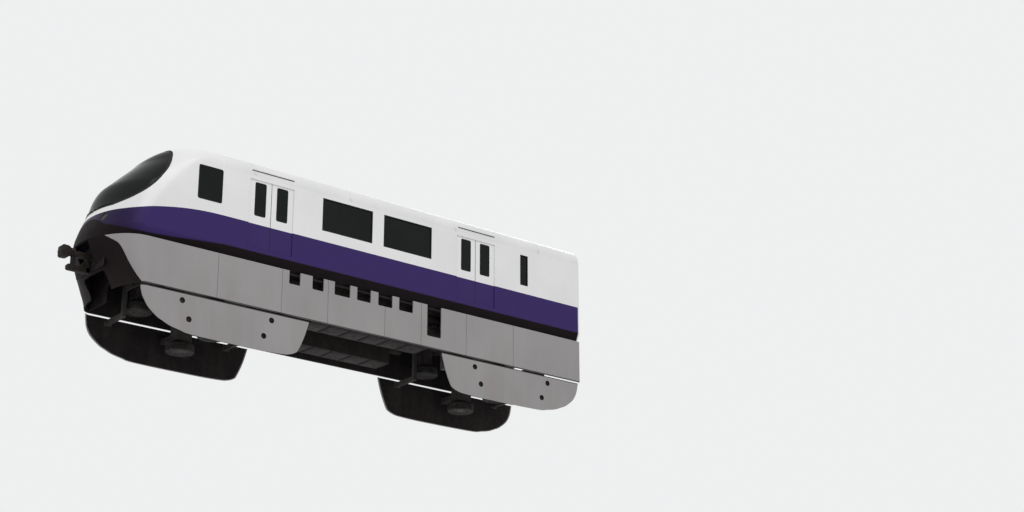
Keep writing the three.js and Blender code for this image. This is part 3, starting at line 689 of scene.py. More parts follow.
def section_heights():
    """Heights that follow the body's section evenly, from its tucked-in edge to the top of the roof."""
    heights = between(TUCK_LOW, TUCK_HIGH, 4)[:-1] + between(TUCK_HIGH, CORNER_Z, 30)[:-1]
    heights += [CORNER_Z + CORNER_RADIUS * math.sin(CROWN_ANGLE * i / 12) for i in range(12)]
    heights += [CROWN_Z + CROWN_RADIUS * math.sin(angle)
                for angle in between(CROWN_ANGLE, math.pi / 2, 22)[:-1]]
    return heights + [ROOF_TOP]


def skin(name, form, width_at, heights, back, inset=0.0, thickness=0.06, turns=40):
    """A shell over a form: a grid laid round the nose row by row, then thickened inward."""
    columns = turns + 2 * BACK_COLUMNS
    bpy.ops.object.select_all(action="DESELECT")
    bpy.ops.mesh.primitive_grid_add(x_subdivisions=columns, y_subdivisions=len(heights) - 1, size=2)
    piece = started(name)
    for vertex in piece.data.vertices:
        column = round((vertex.co.x + 1) / 2 * columns)
        height = heights[round((vertex.co.y + 1) / 2 * (len(heights) - 1))]
        tip, start, power = form_at(form, height)
        width = max(width_at(height) - inset, 0.0)
        from_back = min(column, columns - column)
        if from_back < BACK_COLUMNS:
            along = back + (start - back) * (from_back / BACK_COLUMNS)
            vertex.co = (along, -width if column < BACK_COLUMNS else width, height)
        else:
            angle = math.pi * ((column - BACK_COLUMNS) / turns - 0.5)
            across = math.copysign(abs(math.sin(angle)) ** (2 / power), math.sin(angle))
            vertex.co = (start + (tip - inset - start) * math.cos(angle), width * across, height)
    with editing(piece):
        bpy.ops.mesh.remove_doubles(threshold=WELD)
    return apply(piece, "SOLIDIFY", thickness=thickness, offset=-1)


def body_skin(name, **more):
    return skin(name, NOSE_FORM, half_width, section_heights(), CAB_X, **more)


# Cab shell, nose panel, windshield and cab windows

BEYOND_NOSE = 7.6
# Lines on the nose in side view, X then Z.
BAND_LINE = smooth_line([(3.92, BAND_TOP), (4.5, 1.758), (4.972, 1.723), (5.32, 1.678), (5.665, 1.618),
                         (6.0, 1.551), (6.296, 1.493), (6.544, 1.463), (6.739, 1.454), (BEYOND_NOSE, 1.452)])
SCREEN_LINE = smooth_line([(BEYOND_NOSE, 1.622), (6.85, 1.622), (6.758, 1.634), (6.642, 1.69), (6.499, 1.77),
                           (6.343, 1.883), (6.183, 2.012), (6.022, 2.174), (5.885, 2.337), (5.754, 2.521),
                           (5.643, 2.69), (5.512, 2.945), (5.4, 3.23), (5.36, 3.42), (5.36, 3.9)])
# Columns here and for the other windows: rear end, front end, sill, head.
CAB_WINDOW = (4.18, 4.86, 2.056, 2.949)
LAMP_Y, LAMP_Z, LAMP_RADIUS = 0.64, 1.29, 0.095


def over_band(shift):
    above = [(BEYOND_NOSE, 4.2), (BAND_LINE[0][0], 4.2)]
    return plate("over_band", [(x, z + shift) for x, z in BAND_LINE] + above, "y", -2, 2)


def screen_area(margin):
    corner = [(BEYOND_NOSE + margin, 3.9)]
    return plate("screen_area", [(x + margin, z + margin) for x, z in SCREEN_LINE] + corner, "y", -2, 2)


def cab_window_area(margin, side):
    outline = shrunk(CAB_WINDOW, margin, 0.05 - margin / 2)
    return plate("cab_window_area", outline, "y", side * 1.2, side * 1.6)


def lamp_rods(name, grow, low=6.6, high=7.5):
    """A rod through each headlight, as a tool."""
    return [bar(name, "x", LAMP_RADIUS + grow, low, high, (side * LAMP_Y, LAMP_Z), 40) for side in (1, -1)]


nose_skin = body_skin("nose_skin")
cab = copied(nose_skin, "cab_shell_skin")
carve(cab, over_band(0.0003), keep=True)
carve(cab, screen_area(0), cab_window_area(0, 1), cab_window_area(0, -1))
finished(cab, body_white, "body_white", "cab_shell")
nose_front = copied(nose_skin, "nose_panel_skin")
carve(nose_front, over_band(0), *lamp_rods("lamp_hole", 0))
finished(nose_front, nose_blue, "band_blue", "nose_panel")
drop(nose_skin)

glass_skin = body_skin("glass_skin", inset=0.005, thickness=0.018)
for side_name, side in SIDES:
    pane = carve(copied(glass_skin, f"cab_window_pane_{side_name}"), cab_window_area(0.001, side), keep=True)
    finished(pane, window_glass, "window_glass", f"cab_window_{side_name}")
screen = carve(glass_skin, screen_area(0.001), keep=True)
screen.name = "windshield_pane"
finished(screen, windshield_glass, "windshield_glass", "windshield")

gasket = body_skin("windshield_gasket", inset=-0.004, thickness=0.020)
carve(gasket, screen_area(-0.012), keep=True)
finished(carve(gasket, screen_area(0.022)), seal_black, "windshield_glass")

# Skirts, front valance and bogie covers

SKIRT_BACK, SKIRT_LOW, SKIRT_TOP = -7.3597, -0.43, 0.742
SKIRT_FRONT = smooth_line([(6.195, -0.44), (6.252, -0.35), (6.358, -0.176), (6.49, 0.053), (6.611, 0.29),
                           (6.734, 0.511), (6.87, 0.64), (7.0, 0.76)], 4)
# Columns: rear end, front end, bottom.
NOTCHES = [(1.84, 2.17, 0.4), (1.14, 1.48, 0.4), (0.33, 0.81, 0.4), (-0.31, 0.12, 0.4), (-0.99, -0.54, 0.4),
           (-1.65, -1.2, 0.4), (-2.57, -2.11, -0.11)]
SKIRT_JOINTS = [4.2, 2.37, 1.0, -0.76, -1.92, -3.4, -5.0]
BEAM_ROOM = (-0.52, 0.52, -1, 0.02)
COUPLER_HOLE = (-0.33, 0.33, 0.12, 0.86)
# A liner lies just inside its skirt or cover: a near-black sheet of painted shade.
LINER = {"inset": SKIRT_SKIN + 0.0005, "thickness": 0.004}


def skirt_area(shift):
    front = [(x + shift, z) for x, z in SKIRT_FRONT]
    low, high = -0.6, 1.0
    outline = [(-BEYOND_NOSE, low), (front[0][0], low)] + front + [(front[-1][0], high), (-BEYOND_NOSE, high)]
    return plate("skirt_area", outline, "y", -2, 2)


def skirt_side(pattern, name, side, shift, room):
    """One side's skirt or liner out of a pattern that runs round the nose, with room round its notches."""
    half = copied(pattern, name)
    carve(half, skirt_area(shift), keep=True)
    carve(half, box("other_half", (-8, -side * 0.01, -1), (8, -side * 2, 1), 0))
    for x0, x1, bottom in NOTCHES:
        outline = rounded(x0 - room, x1 + room, bottom - room, 1.0, 0.035)
        carve(half, plate("notch", outline, "y", side * 1.3, side * 1.6))
    return half


def skirt_pattern(name, heights, back, **more):
    return skin(name, SKIRT_FORM, skirt_width, heights, back, turns=36, **more)


skirt_skin = skirt_pattern("skirt_skin", between(SKIRT_LOW, SKIRT_TOP, 12), SKIRT_BACK, thickness=SKIRT_SKIN)
skirt_liner = skirt_pattern("skirt_liner", between(SKIRT_LOW + 0.02, SKIRT_TOP - 0.03, 10), SKIRT_BACK + 0.02,
                            **LINER)
for side_name, side in SIDES:
    panel = skirt_side(skirt_skin, f"skirt_panel_{side_name}", side, 0, 0)
    for x in SKIRT_JOINTS:
        carve(panel, box("joint", (x - 0.006, side * 1.478, -0.6), (x + 0.006, side * 1.6, 1.0), 0))
    finished(panel, skirt_grey, "skirt_grey", f"skirt_{side_name}")
    liner = skirt_side(skirt_liner, f"skirt_liner_{side_name}", side, -0.03, 0.02)
    finished(liner, painted_shade_coat, "underframe_dark")
drop(skirt_liner)
valance = carve(skirt_skin, skirt_area(0.0005), plate("beam_room", rounded(*BEAM_ROOM, 0.08), "x", 5.5, 8),
                plate("coupler_hole", rounded(*COUPLER_HOLE, 0.09), "x", 6.5, 8))
valance.name = "front_valance_panel"
finished(valance, valance_dark, "valance_dark", "front_valance")

# Columns: name, middle, and the way in which its cover faces.
BOGIES = (("front", 3.88, 1), ("rear", -4.95, -1))
COVER_TOP, COVER_LOW = -0.48, -1.4798
COVER_LINE = [(-2.34, COVER_TOP), (-2.31, -0.6), (-2.206, -0.933), (-2.05, -1.28), (-1.96, -1.37),
              (-1.8, -1.43), (-1.6, -1.46), (-0.996, -1.48), (-0.082, -1.48), (0.965, -1.463), (1.25, -1.415),
              (1.529, -1.356), (1.74, -1.27), (1.9, -1.195), (2.14, -1.004), (2.262, -0.81), (2.31, -0.656),
              (2.34, COVER_TOP)]
COVER_HOLES = [(1.25, -0.67), (1.045, -1.11), (-1.25, -0.67), (-1.045, -1.11)]
HOLE_RADIUS = 0.075
# Radius, then distance from the car's middle plane.
HOLE_RING = [(HOLE_RADIUS - 0.010, 1.4605), (HOLE_RADIUS - 0.010, 1.4875), (HOLE_RADIUS - 0.007, 1.4898),
             (HOLE_RADIUS + 0.001, 1.4898), (HOLE_RADIUS + 0.001, 1.4605)]

cover_skin = skirt_pattern("cover_skin", between(-1.5, COVER_TOP, 8), SKIRT_BACK, thickness=SKIRT_SKIN)
cover_liner = skirt_pattern("cover_liner", between(-1.49, COVER_TOP - 0.01, 8), SKIRT_BACK, **LINER)
for end_name, centre, way in BOGIES:
    body = f"bogie_{end_name}"
    outline = [(centre + way * x, max(z, COVER_LOW)) for x, z in smooth_line(COVER_LINE, 4)]
    inner_outline = [(centre + (x - centre) * 0.985, z * 0.99) for x, z in outline]
    holes = [(centre + way * x, z) for x, z in COVER_HOLES]
    for side_name, side in SIDES:
        place = f"{end_name}_{side_name}"
        cover = copied(cover_skin, f"cover_panel_{place}")
        carve(cover, plate("cover_area", outline, "y", side * 0.01, side * 2), keep=True)
        carve(cover, *[bar("hole", "y", HOLE_RADIUS, side * 1.2, side * 1.7, hole, 32) for hole in holes])
        finished(cover, skirt_grey, "skirt_grey", f"bogie_cover_{place}", body=body)
        liner = copied(cover_liner, f"cover_liner_{place}")
        carve(liner, plate("cover_area", inner_outline, "y", side * 0.01, side * 2), keep=True)
        finished(liner, painted_shade_coat, "underframe_dark", body=body)
        rings = [on_side(turned("hole_ring", HOLE_RING, "y", (x, 0, z), 28), side) for x, z in holes]
        finished(merge(f"cover_rings_{place}", rings), seal_black, "tyre_black", body=body)
drop(cover_skin, cover_liner)

# Roof

SALOON_BACK, SALOON_FRONT = -7.3597, 4.1197


def roof_outline(outer, inner, low):
    """The roof's section between two lines beside its surface, each given by its distance outward."""
    def arc(grow):
        corner, crown = CORNER_RADIUS + grow, CROWN_RADIUS + grow
        left = [(HALF_WIDTH + grow, low)]
        left += [(CORNER_Y + corner * math.cos(angle), CORNER_Z + corner * math.sin(angle))
                 for angle in between(0, CROWN_ANGLE, 14)]
        left += [(crown * math.cos(angle), CROWN_Z + crown * math.sin(angle))
                 for angle in between(CROWN_ANGLE, math.pi / 2, 12)[1:-1]]
        return left + [(0, CROWN_Z + crown)] + [(-y, z) for y, z in reversed(left)]
    return arc(outer) + arc(inner)[::-1]


roof = plate("roof_shell", roof_outline(0, -0.06, 3.0503), "x", SALOON_BACK, SALOON_FRONT)
finished(roof, roof_white, "body_white", "roof")
straps = [plate("strap", roof_outline(0.004, -0.004, 3.12), "x", x - 0.03, x + 0.03)
          for x in (-5.95, -3.05, 0.35, 3.25)]
finished(merge("roof_straps", straps), roof_white, "body_white")

# Side windows and doors

WINDOWS = [(-0.331, 1.226, 2.056, 2.949), (-2.244, -0.689, 2.056, 2.949), (-5.55, -5.28, 2.0, 2.88)]
DOOR_CENTRES = {"front": 2.75, "rear": -3.735}
# From the doorway's middle: near edge, far edge. Then sill and head.
LEAF_GLASS = (0.165, 0.475, 2.0, 2.88)
LEAF_FACE = 1.425
DRIP_RAIL = [(1.430, 3.178), (1.452, 3.174), (1.455, 3.188), (1.450, 3.190), (1.448, 3.183), (1.428, 3.192)]
# A pane or gasket stands this far inside its square opening.
PANE_GAP = 0.0005


def frame_ring(name, outer, inner, side, low, high):
    """A flat ring between two outlines, standing on a side of the car."""
    ring = plate(name, outer, "y", side * low, side * high)
    return carve(ring, plate("hole", inner, "y", side * (low - 0.1), side * (high + 0.1)))


def door_leaf(end_name, side_name, side, leaf_name, way, centre):
    """The pane, gasket and edge rubber of one door leaf."""
    place, body = f"{end_name}_{side_name}_{leaf_name}", f"leaf_{end_name}_{side_name}_{leaf_name}"
    near, far, sill, head = LEAF_GLASS
    glass = (*sorted((centre + way * near, centre + way * far)), sill, head)
    pane = plate(f"door_pane_{place}", shrunk(glass, PANE_GAP, 0.004, 1), "y",
                 side * (LEAF_FACE - 0.0078), side * (LEAF_FACE - 0.002))
    finished(pane, window_glass, "window_glass", body=body)
    ring = frame_ring(f"door_pane_gasket_{place}", shrunk(glass, -0.010, 0.045), shrunk(glass, 0.014, 0.03),
                      side, LEAF_FACE - 0.0019, LEAF_FACE + 0.003)
    finished(ring, seal_black, "window_glass", body=body)
    edge = box(f"door_edge_{place}", (centre + way * 0.0005, side * 1.378, 1.135),
               (centre + way * 0.007, side * 1.4262, 2.955), 0.001)
    finished(edge, seal_black, "tyre_black", body=body)


for side_name, side in SIDES:
    for number, window in enumerate(WINDOWS):
        lip = 0.026 if window[1] - window[0] > 1 else 0.018
        ring = frame_ring(f"window_gasket_{side_name}_{number}", shrunk(window, PANE_GAP, 0.004, 1),
                          shrunk(window, lip, 0.05), side, 1.4285, 1.4515)
        finished(ring, seal_black, "window_glass")
    ring = frame_ring(f"cab_window_gasket_{side_name}", shrunk(CAB_WINDOW, -0.004, 0.053),
                      shrunk(CAB_WINDOW, 0.02, 0.035), side, 1.4465, 1.4525)
    finished(ring, seal_black, "window_glass")
    for end_name, centre in DOOR_CENTRES.items():
        for leaf_name, way in FORE_AFT:
            door_leaf(end_name, side_name, side, leaf_name, way, centre)
        # The drip rail is black throughout: painted shade for the shadow line under it.
        drip = plate(f"door_drip_rail_{end_name}_{side_name}", [(side * y, z) for y, z in DRIP_RAIL], "x",
                     centre - 0.64, centre + 0.60)
        finished(drip, seal_black, "body_white")

# Running wheels, guide wheels and stabilisers

# The wheels' sections are pairs of radius and distance along the axle.
TYRE_RADIUS, GROOVE_DEPTH = 0.503, 0.009
GROOVES = [(TYRE_RADIUS - depth, groove + half) for groove in (0.285, 0.230, 0.185, 0.130)
           for depth, half in ((0, 0.008), (GROOVE_DEPTH, 0.005), (GROOVE_DEPTH, -0.005), (0, -0.008))]
TYRE = [(0.300, 0.375), (0.345, 0.385), (0.420, 0.390), (0.468, 0.380), (0.492, 0.362), (0.501, 0.345),
        (TYRE_RADIUS, 0.325), *GROOVES, (TYRE_RADIUS, 0.092), (0.501, 0.072), (0.492, 0.055), (0.468, 0.040),
        (0.420, 0.031), (0.345, 0.034), (0.300, 0.042), (0.300, 0.1), (0.296, 0.2), (0.300, 0.32)]
RIM = [(0.298, 0.372), (0.312, 0.378), (0.312, 0.366), (0.302, 0.35), (0.296, 0.3), (0.26, 0.285),
       (0.185, 0.3), (0.185, 0.325), (0.15, 0.335), (0.15, 0.455), (0.14, 0.468), (0.06, 0.47), (0.005, 0.47),
       (0.005, 0.0), (0.1, 0.0), (0.1, 0.03), (0.14, 0.044), (0.296, 0.046), (0.298, 0.1), (0.29, 0.2)]
GUIDE_TYRE = both_faces([(0.365, 0.017), (0.359, 0.021), (0.359, 0.031), (0.365, 0.035), (0.365, 0.070),
                         (0.361, 0.090), (0.345, 0.103), (0.300, 0.105), (0.255, 0.098)])
GUIDE_HUB = [(0.256, -0.09), (0.262, -0.097), (0.25, -0.098), (0.235, -0.06), (0.15, -0.045), (0.14, -0.068),
             (0.06, -0.07), (0.005, -0.07), (0.005, 0.155), (0.095, 0.155), (0.108, 0.145), (0.11, 0.06),
             (0.15, 0.045), (0.235, 0.06), (0.25, 0.098), (0.262, 0.097), (0.256, 0.09)]
WHEELBASE_HALF, AXLE_Z = 0.75, 0.503
GUIDE_X, GUIDE_Y, GUIDE_Z, STABILISER_Z = 1.25, 0.79, -0.3, -1.1
ORIGIN = (0, 0, 0)

tyre_pair = outward(both_halves(turned("tyre", TYRE, "y", ORIGIN, 72), "tyre_pair"))
hub = merge("hub", [turned("rim", RIM, "y", ORIGIN, 40),
                    bolt_circle("y", (0, 0), 0.225, 10, 0.016, 0.29, 0.315),
                    bolt_circle("y", (0, 0), 0.105, 8, 0.012, 0.469, 0.482)])
hub_pair = both_halves(hub, "hub_pair")
guide_tyre = turned("guide_tyre", GUIDE_TYRE, "z", ORIGIN, 56)
guide_hub = merge("guide_hub", [turned("disc", GUIDE_HUB, "z", ORIGIN, 36),
                                bolt_circle("z", (0, 0), 0.195, 8, 0.014, -0.052, -0.075),
                                bolt_circle("z", (0, 0), 0.105, 6, 0.010, -0.069, -0.082)])
for end_name, centre, _ in BOGIES:
    for axle_name, way in FORE_AFT:
        place, body = (centre + way * WHEELBASE_HALF, 0, AXLE_Z), f"{end_name}_axle_{axle_name}"
        tyres = copied(tyre_pair, f"tyres_{end_name}_{axle_name}", place)
        finished(tyres, tyre_black, "tyre_black", f"axle_{end_name}_{axle_name}", body=body)
        hubs = copied(hub_pair, f"wheel_hubs_{end_name}_{axle_name}", place)
        finished(hubs, bogie_steel, "bogie_steel", body=body)
    for side_name, side in SIDES:
        # Columns: kind, the solid that it stands for, distance ahead of the bogie's middle, height.
        for kind, node, x, z in (("guide_fore", f"guide_wheel_{end_name}_fore_{side_name}", GUIDE_X, GUIDE_Z),
                                 ("guide_aft", f"guide_wheel_{end_name}_aft_{side_name}", -GUIDE_X, GUIDE_Z),
                                 ("stabiliser", f"stabiliser_{end_name}_{side_name}", 0, STABILISER_Z)):
            place, body = (centre + x, side * GUIDE_Y, z), f"{end_name}_{kind}_{side_name}"
            tyre = copied(guide_tyre, f"{kind}_tyre_{end_name}_{side_name}", place)
            finished(tyre, tyre_black, "tyre_black", node, body=body)
            hub = copied(guide_hub, f"{kind}_hub_{end_name}_{side_name}", place)
            finished(hub, bogie_steel, "bogie_steel", body=body)
drop(tyre_pair, hub_pair, guide_tyre, guide_hub)

# Rear end and gangway bellows

GANGWAY = (-0.42, 0.42, 1.13, 3.08)
GANGWAY_FRAME = (-0.64, 0.64, 1.0, 3.26)
FOLDS, FOLD_PITCH = 6, 0.0335


def gangway_ring(name, outset, inset, low, high, edge):
    """A ring round the gangway's opening, between two planes across the car."""
    ring = plate(name, shrunk(GANGWAY_FRAME, -outset, 0.10), "x", low, high)
    carve(ring, plate("opening", shrunk(GANGWAY, -inset, 0.06), "x", low - 1, high + 1))
    return eased(ring, edge, 3, 50)


rear_wall = plate("rear_wall_plate", across_car([(half_width(z), z) for z in section_heights()]), "x",
                  REAR_X, REAR_X + 0.04)
carve(rear_wall, plate("opening", rounded(*GANGWAY, 0.03), "x", -8, -7))
finished(eased(rear_wall, 0.003, 2, 60), body_white, "body_white", "rear_wall")
folds = [gangway_ring("core", -0.034, 0.026, -7.604, -7.4008, 0.004)]
fold = gangway_ring("fold", 0, 0, -7.431, -7.403, 0.0125)
folds += [copied(fold, "fold", (-FOLD_PITCH * i, 0, 0)) for i in range(1, FOLDS)] + [fold]
finished(merge("gangway_bellows", folds), bellows_rubber, "bellows_rubber", "gangway_frame")
finished(gangway_ring("gangway_end_frame", 0, 0, -7.62, -7.602, 0.004), bright_steel, "rail_steel")

# Along the car, then height.
HANDRAIL = [(-7.398, 1.45), (-7.44, 1.45), (-7.455, 1.47), (-7.455, 2.33), (-7.44, 2.35), (-7.398, 2.35)]
HANDRAIL_Y, SOCKET_Y = 0.95, 0.98
rear_rails, sockets = [], []
for side in (1, -1):
    y = side * HANDRAIL_Y
    rear_rails.append(pipe("handrail", smooth_line([(x, y, z) for x, z in HANDRAIL], 4), 0.014))
    for z in (1.45, 2.35):
        rear_rails.append(bar("flange", "x", 0.03, -7.408, -7.3995, (y, z), 20))
    y = side * SOCKET_Y
    for z in (1.02, 1.22):
        sockets.append(box("socket", (-7.48, y - 0.07, z - 0.06), (-7.399, y + 0.07, z + 0.06), 0.012, 3))
        sockets.append(bar("cap", "x", 0.045, -7.50, -7.47, (y, z), 24))
finished(merge("rear_handrails", rear_rails), bright_steel, "rail_steel")
finished(merge("jumper_sockets", sockets), coupler_iron, "coupler_iron")

# Roof units

UNIT_HALF, UNIT_TOP = 0.42, 3.81
FAN_X = 0.62
RECESS_X, RECESS_HALF, RECESS_LOW, RECESS_TOP, RECESS_DEPTH = (-0.72, 0.0, 0.72), 0.26, 3.69, 3.765, 0.022
SLATS = 5


def louvres(x, side):
    """A row of sloping slats in a recess on a side wall of a roof unit."""
    face = side * UNIT_HALF
    slats = []
    for i in range(SLATS):
        z = RECESS_LOW + (RECESS_TOP - RECESS_LOW) * (i + 0.5) / SLATS
        section = [(face - side * 0.022, z - 0.006), (face - side * 0.001, z - 0.011), (face, z - 0.008),
                   (face - side * 0.021, z - 0.001)]
        slats.append(plate("slat", section, "x", x - RECESS_HALF + 0.001, x + RECESS_HALF - 0.001))
    return merge("slats", slats)


def unit_casing():
    """An air-conditioning unit's casing over the origin: fan wells, seams, louvres and lids."""
    casing = box("casing", (-1.1, -UNIT_HALF, 3.668), (1.1, UNIT_HALF, UNIT_TOP - 0.012), 0.028, 4)
    carve(casing, *[bar("fan_well", "z", 0.235, 3.72, 3.9, (x, 0), 40) for x in (-FAN_X, FAN_X)])
    carve(casing, *[box("seam", (x - 0.003, -1, UNIT_TOP - 0.016), (x + 0.003, 1, 4), 0)
                    for x in (-0.31, 0.31)])
    parts = [casing]
    for side in (1, -1):
        for x in RECESS_X:
            carve(casing, box("recess", (x - RECESS_HALF, side * (UNIT_HALF - RECESS_DEPTH), RECESS_LOW),
                              (x + RECESS_HALF, side * (UNIT_HALF + 0.1), RECESS_TOP), 0))
            parts.append(louvres(x, side))
    parts += [box("lid", (x0, -0.17, UNIT_TOP - 0.014), (x1, 0.17, UNIT_TOP - 0.002), 0.004)
              for x0, x1 in ((-0.28, -0.02), (0.02, 0.28))]
    parts += [bar("bolt", "z", 0.009, UNIT_TOP - 0.014, UNIT_TOP - 0.007, (x, y), 6)
              for x in (-1.04, -0.34, 0.34, 1.04) for y in (-0.36, 0.36)]
    return merge("unit_casing", parts)


def unit_grilles():
    """The wire guards, hubs and blades of a roof unit's two fans."""
    parts = []
    for x in (-FAN_X, FAN_X):
        for radius in (0.06, 0.10, 0.14, 0.18, 0.22, 0.245):
            ring = [(radius + 0.0045 * math.cos(a), UNIT_TOP - 0.008 + 0.0045 * math.sin(a))
                    for a in [math.pi * k / 3 for k in range(6)]]
            parts.append(turned("wire", ring, "z", (x, 0, 0), 36))
        for k in range(4):
            spoke = Vector((math.cos(math.pi * k / 4), math.sin(math.pi * k / 4), 0)) * 0.245
            hub_top = Vector((x, 0, UNIT_TOP - 0.014))
            parts.append(pipe("spoke", [hub_top - spoke, hub_top + spoke], 0.004, 2))
        parts.append(bar("hub", "z", 0.055, 3.725, UNIT_TOP - 0.03, (x, 0), 24))
        for k in range(6):
            angle = math.pi * k / 3
            out = Vector((math.cos(angle), math.sin(angle)))
            turn = Vector((-math.sin(angle), math.cos(angle)))
            corners = [out * 0.05 - turn * 0.02, out * 0.21 - turn * 0.06, out * 0.215 + turn * 0.055,
                       out * 0.05 + turn * 0.02]
            parts.append(plate("blade", [(x + c.x, c.y) for c in corners], "z", 3.752, 3.757))
    return merge("unit_grilles", parts)


casing, grille = unit_casing(), unit_grilles()
for number, x in enumerate((1.8, -4.5)):
    shell = copied(casing, f"roof_unit_casing_{number}", (x, 0, 0))
    finished(shell, roof_unit_grey, "roof_grey", "roof_units")
    finished(copied(grille, f"roof_unit_grille_{number}", (x, 0, 0)), underframe_dark, "underframe_dark")
drop(casing, grille)
duct = [box("duct", (-3.42, -0.16, 3.68), (0.72, 0.16, 3.757), 0.014, 3)]
duct += [box("duct_strap", (x - 0.02, -0.166, 3.68), (x + 0.02, 0.166, 3.7598), 0.010, 3)
         for x in between(-3.1, 0.4, 5)]
finished(merge("roof_duct", duct), roof_unit_grey, "roof_grey")

# Couplers

COUPLER_Z = 0.44
# Along the car, then height.
HEAD_SIDE = [(7.50, 0.335), (7.57, 0.297), (7.645, 0.297), (7.682, 0.325), (7.682, 0.555), (7.645, 0.583),
             (7.57, 0.583), (7.50, 0.545)]
ARM_SIDE = [(6.9, 0.005), (7.45, 0.005), (7.488, 0.03), (7.488, 0.12), (7.465, 0.145), (6.9, 0.145)]
# Radius, then place along the car.
GUIDE_CONE = [(0.0005, 7.66), (0.048, 7.66), (0.044, 7.684), (0.020, 7.698), (0.0005, 7.699)]


def coupler_head(start):
    """A front coupler's shank and head, with its round barrel, guide cone and socket."""
    head = plate("head", HEAD_SIDE, "y", -0.12, 0.12, 0.010, 3)
    carve(head, bar("socket", "x", 0.042, 7.63, 7.75, (-0.055, COUPLER_Z), 28))
    return merge("coupler_head", [
        box("shank", (start, -0.07, 0.37), (7.56, 0.07, 0.51), 0.016, 3),
        bar("collar", "x", 0.105, start, start + 0.057, (0, COUPLER_Z), 32, 0.008),
        bar("collar", "x", 0.092, 7.34, 7.37, (0, COUPLER_Z), 32, 0.006),
        bar("barrel", "y", 0.143, -0.118, 0.118, (7.55, COUPLER_Z), 40, 0.010),
        head,
        turned("cone", GUIDE_CONE, "x", (0, 0.055, COUPLER_Z), 28),
        bar("air_plug", "x", 0.018, 7.60, 7.694, (0, 0.345), 20, 0.003),
        bar("air_plug", "x", 0.018, 7.60, 7.694, (0, 0.535), 20, 0.003),
        bolt_circle("x", (0, COUPLER_Z), 0.088, 8, 0.009, start + 0.052, start + 0.067),
        box("lever", (7.40, 0.075, 0.50), (7.54, 0.10, 0.53), 0.006),
        bar("pivot", "y", 0.02, 0.06, 0.115, (7.42, 0.515), 18),
    ])


rear_head = coupler_head(7.2105)
finished(copied(rear_head, "coupler_rear_body", (-0.04, 0, 0), flip="x"), coupler_iron, "coupler_iron",
         "coupler_rear")
drop(rear_head)
front_coupler = merge("coupler_front_body", [
    coupler_head(6.503),
    box("post", (6.9, -0.065, 0.01), (7.0, 0.065, 0.44), 0.010, 3),
    plate("arm", ARM_SIDE, "y", -0.065, 0.065, 0.008, 3),
    plate("gusset", [(6.99, 0.13), (7.2, 0.13), (6.99, 0.34)], "y", -0.012, 0.012, 0.003),
    box("shoe", (7.40, -0.062, 0.02), (7.489, 0.062, 0.13), 0.014, 3),
    box("strut", (7.28, -0.045, 0.13), (7.385, 0.045, 0.37), 0.012, 3),
    bolt_heads("y", [(7.1, 0.06), (7.1, 0.10), (7.3, 0.06), (7.3, 0.10)], 0.011, -0.075, 0.075),
    bolt_heads("y", [(6.925, 0.30), (6.975, 0.30), (6.925, 0.36), (6.975, 0.36)], 0.010, -0.074, 0.074),
])
finished(front_coupler, coupler_iron, "coupler_iron", "coupler_front")
back_plate = plate("coupler_back_plate", rounded(-0.72, 0.72, 0.06, 0.70, 0.05), "x", 6.86, 6.875, 0.003)
carve(back_plate, plate("shank_room", rounded(-0.11, 0.11, 0.33, 0.55, 0.03), "x", 6.8, 6.9))
finished(back_plate, painted_shade_coat, "underframe_dark")

# Underfloor equipment

BULKHEAD_LEFT = [(0.53, 0.03), (0.53, -0.40), (1.44, -0.40), (1.44, 0.70), (1.27, 0.76), (1.27, 1.0295)]
bulkhead = [plate("nose_bulkhead", across_car(BULKHEAD_LEFT), "x", 6.10, 6.13, 0.004)]
bulkhead += [box("rib", (6.128, y - 0.012, -0.36 if abs(y) > 0.6 else 0.06), (6.149, y + 0.012, 0.70), 0.003)
             for y in (-1.2, -0.85, -0.45, 0.45, 0.85, 1.2)]
finished(merge("nose_bulkhead", bulkhead), painted_shade_coat, "underframe_dark")

EQUIPMENT_BACK, EQUIPMENT_FRONT, LIDS = -2.35, 1.30, 6
LID_WIDTH = (EQUIPMENT_FRONT - EQUIPMENT_BACK) / LIDS
LID_PLACES = [EQUIPMENT_BACK + LID_WIDTH * (i + 0.5) for i in range(LIDS)]
LID_FACE = 1.2


def box_lid():
    """An equipment box lid at the origin, facing +Y: a pressed plate with slats, hinges and latches."""
    half = LID_WIDTH / 2 - 0.02
    lid = [box("lid", (-half, 0.0003, -0.28), (half, 0.014, 0.9), 0.006, 3),
           box("press", (-half + 0.07, 0.013, 0.30), (half - 0.07, 0.020, 0.82), 0.005, 3)]
    for z in between(-0.16, 0.14, 6):
        section = [(0.012, z), (0.030, z - 0.012), (0.031, z - 0.008), (0.014, z + 0.022)]
        lid.append(plate("slat", section, "x", -half + 0.08, half - 0.08))
    for x in (-half + 0.09, half - 0.09):
        lid.append(box("latch", (x - 0.02, 0.012, 0.84), (x + 0.02, 0.032, 0.89), 0.006))
        lid.append(bar("hinge", "x", 0.011, x - 0.05, x + 0.05, (0.016, -0.262), 14))
    return merge("box_lid", lid)


# Radius, then distance from the tank's middle.
TANK = both_faces([(0.13, 0.22), (0.128, 0.24), (0.105, 0.275), (0.06, 0.295), (0.0005, 0.30)])
TANK_Y, STRAP_HALF = 0.95, 0.015
TANKS = ((-2.70, 0.55), (-2.70, 0.22), (1.66, 0.42))
# Columns: place along the car, lower end.
TANK_HANGERS = ((-2.85, 0.08), (-2.55, 0.08), (1.51, 0.28), (1.81, 0.28))
# Columns: height, radius.
PIPES = ((0.705, 0.014), (0.76, 0.012), (0.81, 0.012))
PIPE_Y, PIPE_RUNS = 1.134, ((-7.2, -2.4), (1.35, 5.2))
PIPE_CLIPS = (-7.0, -6.2, -5.6, -4.2, -3.3, -2.5, 1.45, 2.3, 3.2, 4.4, 5.0)
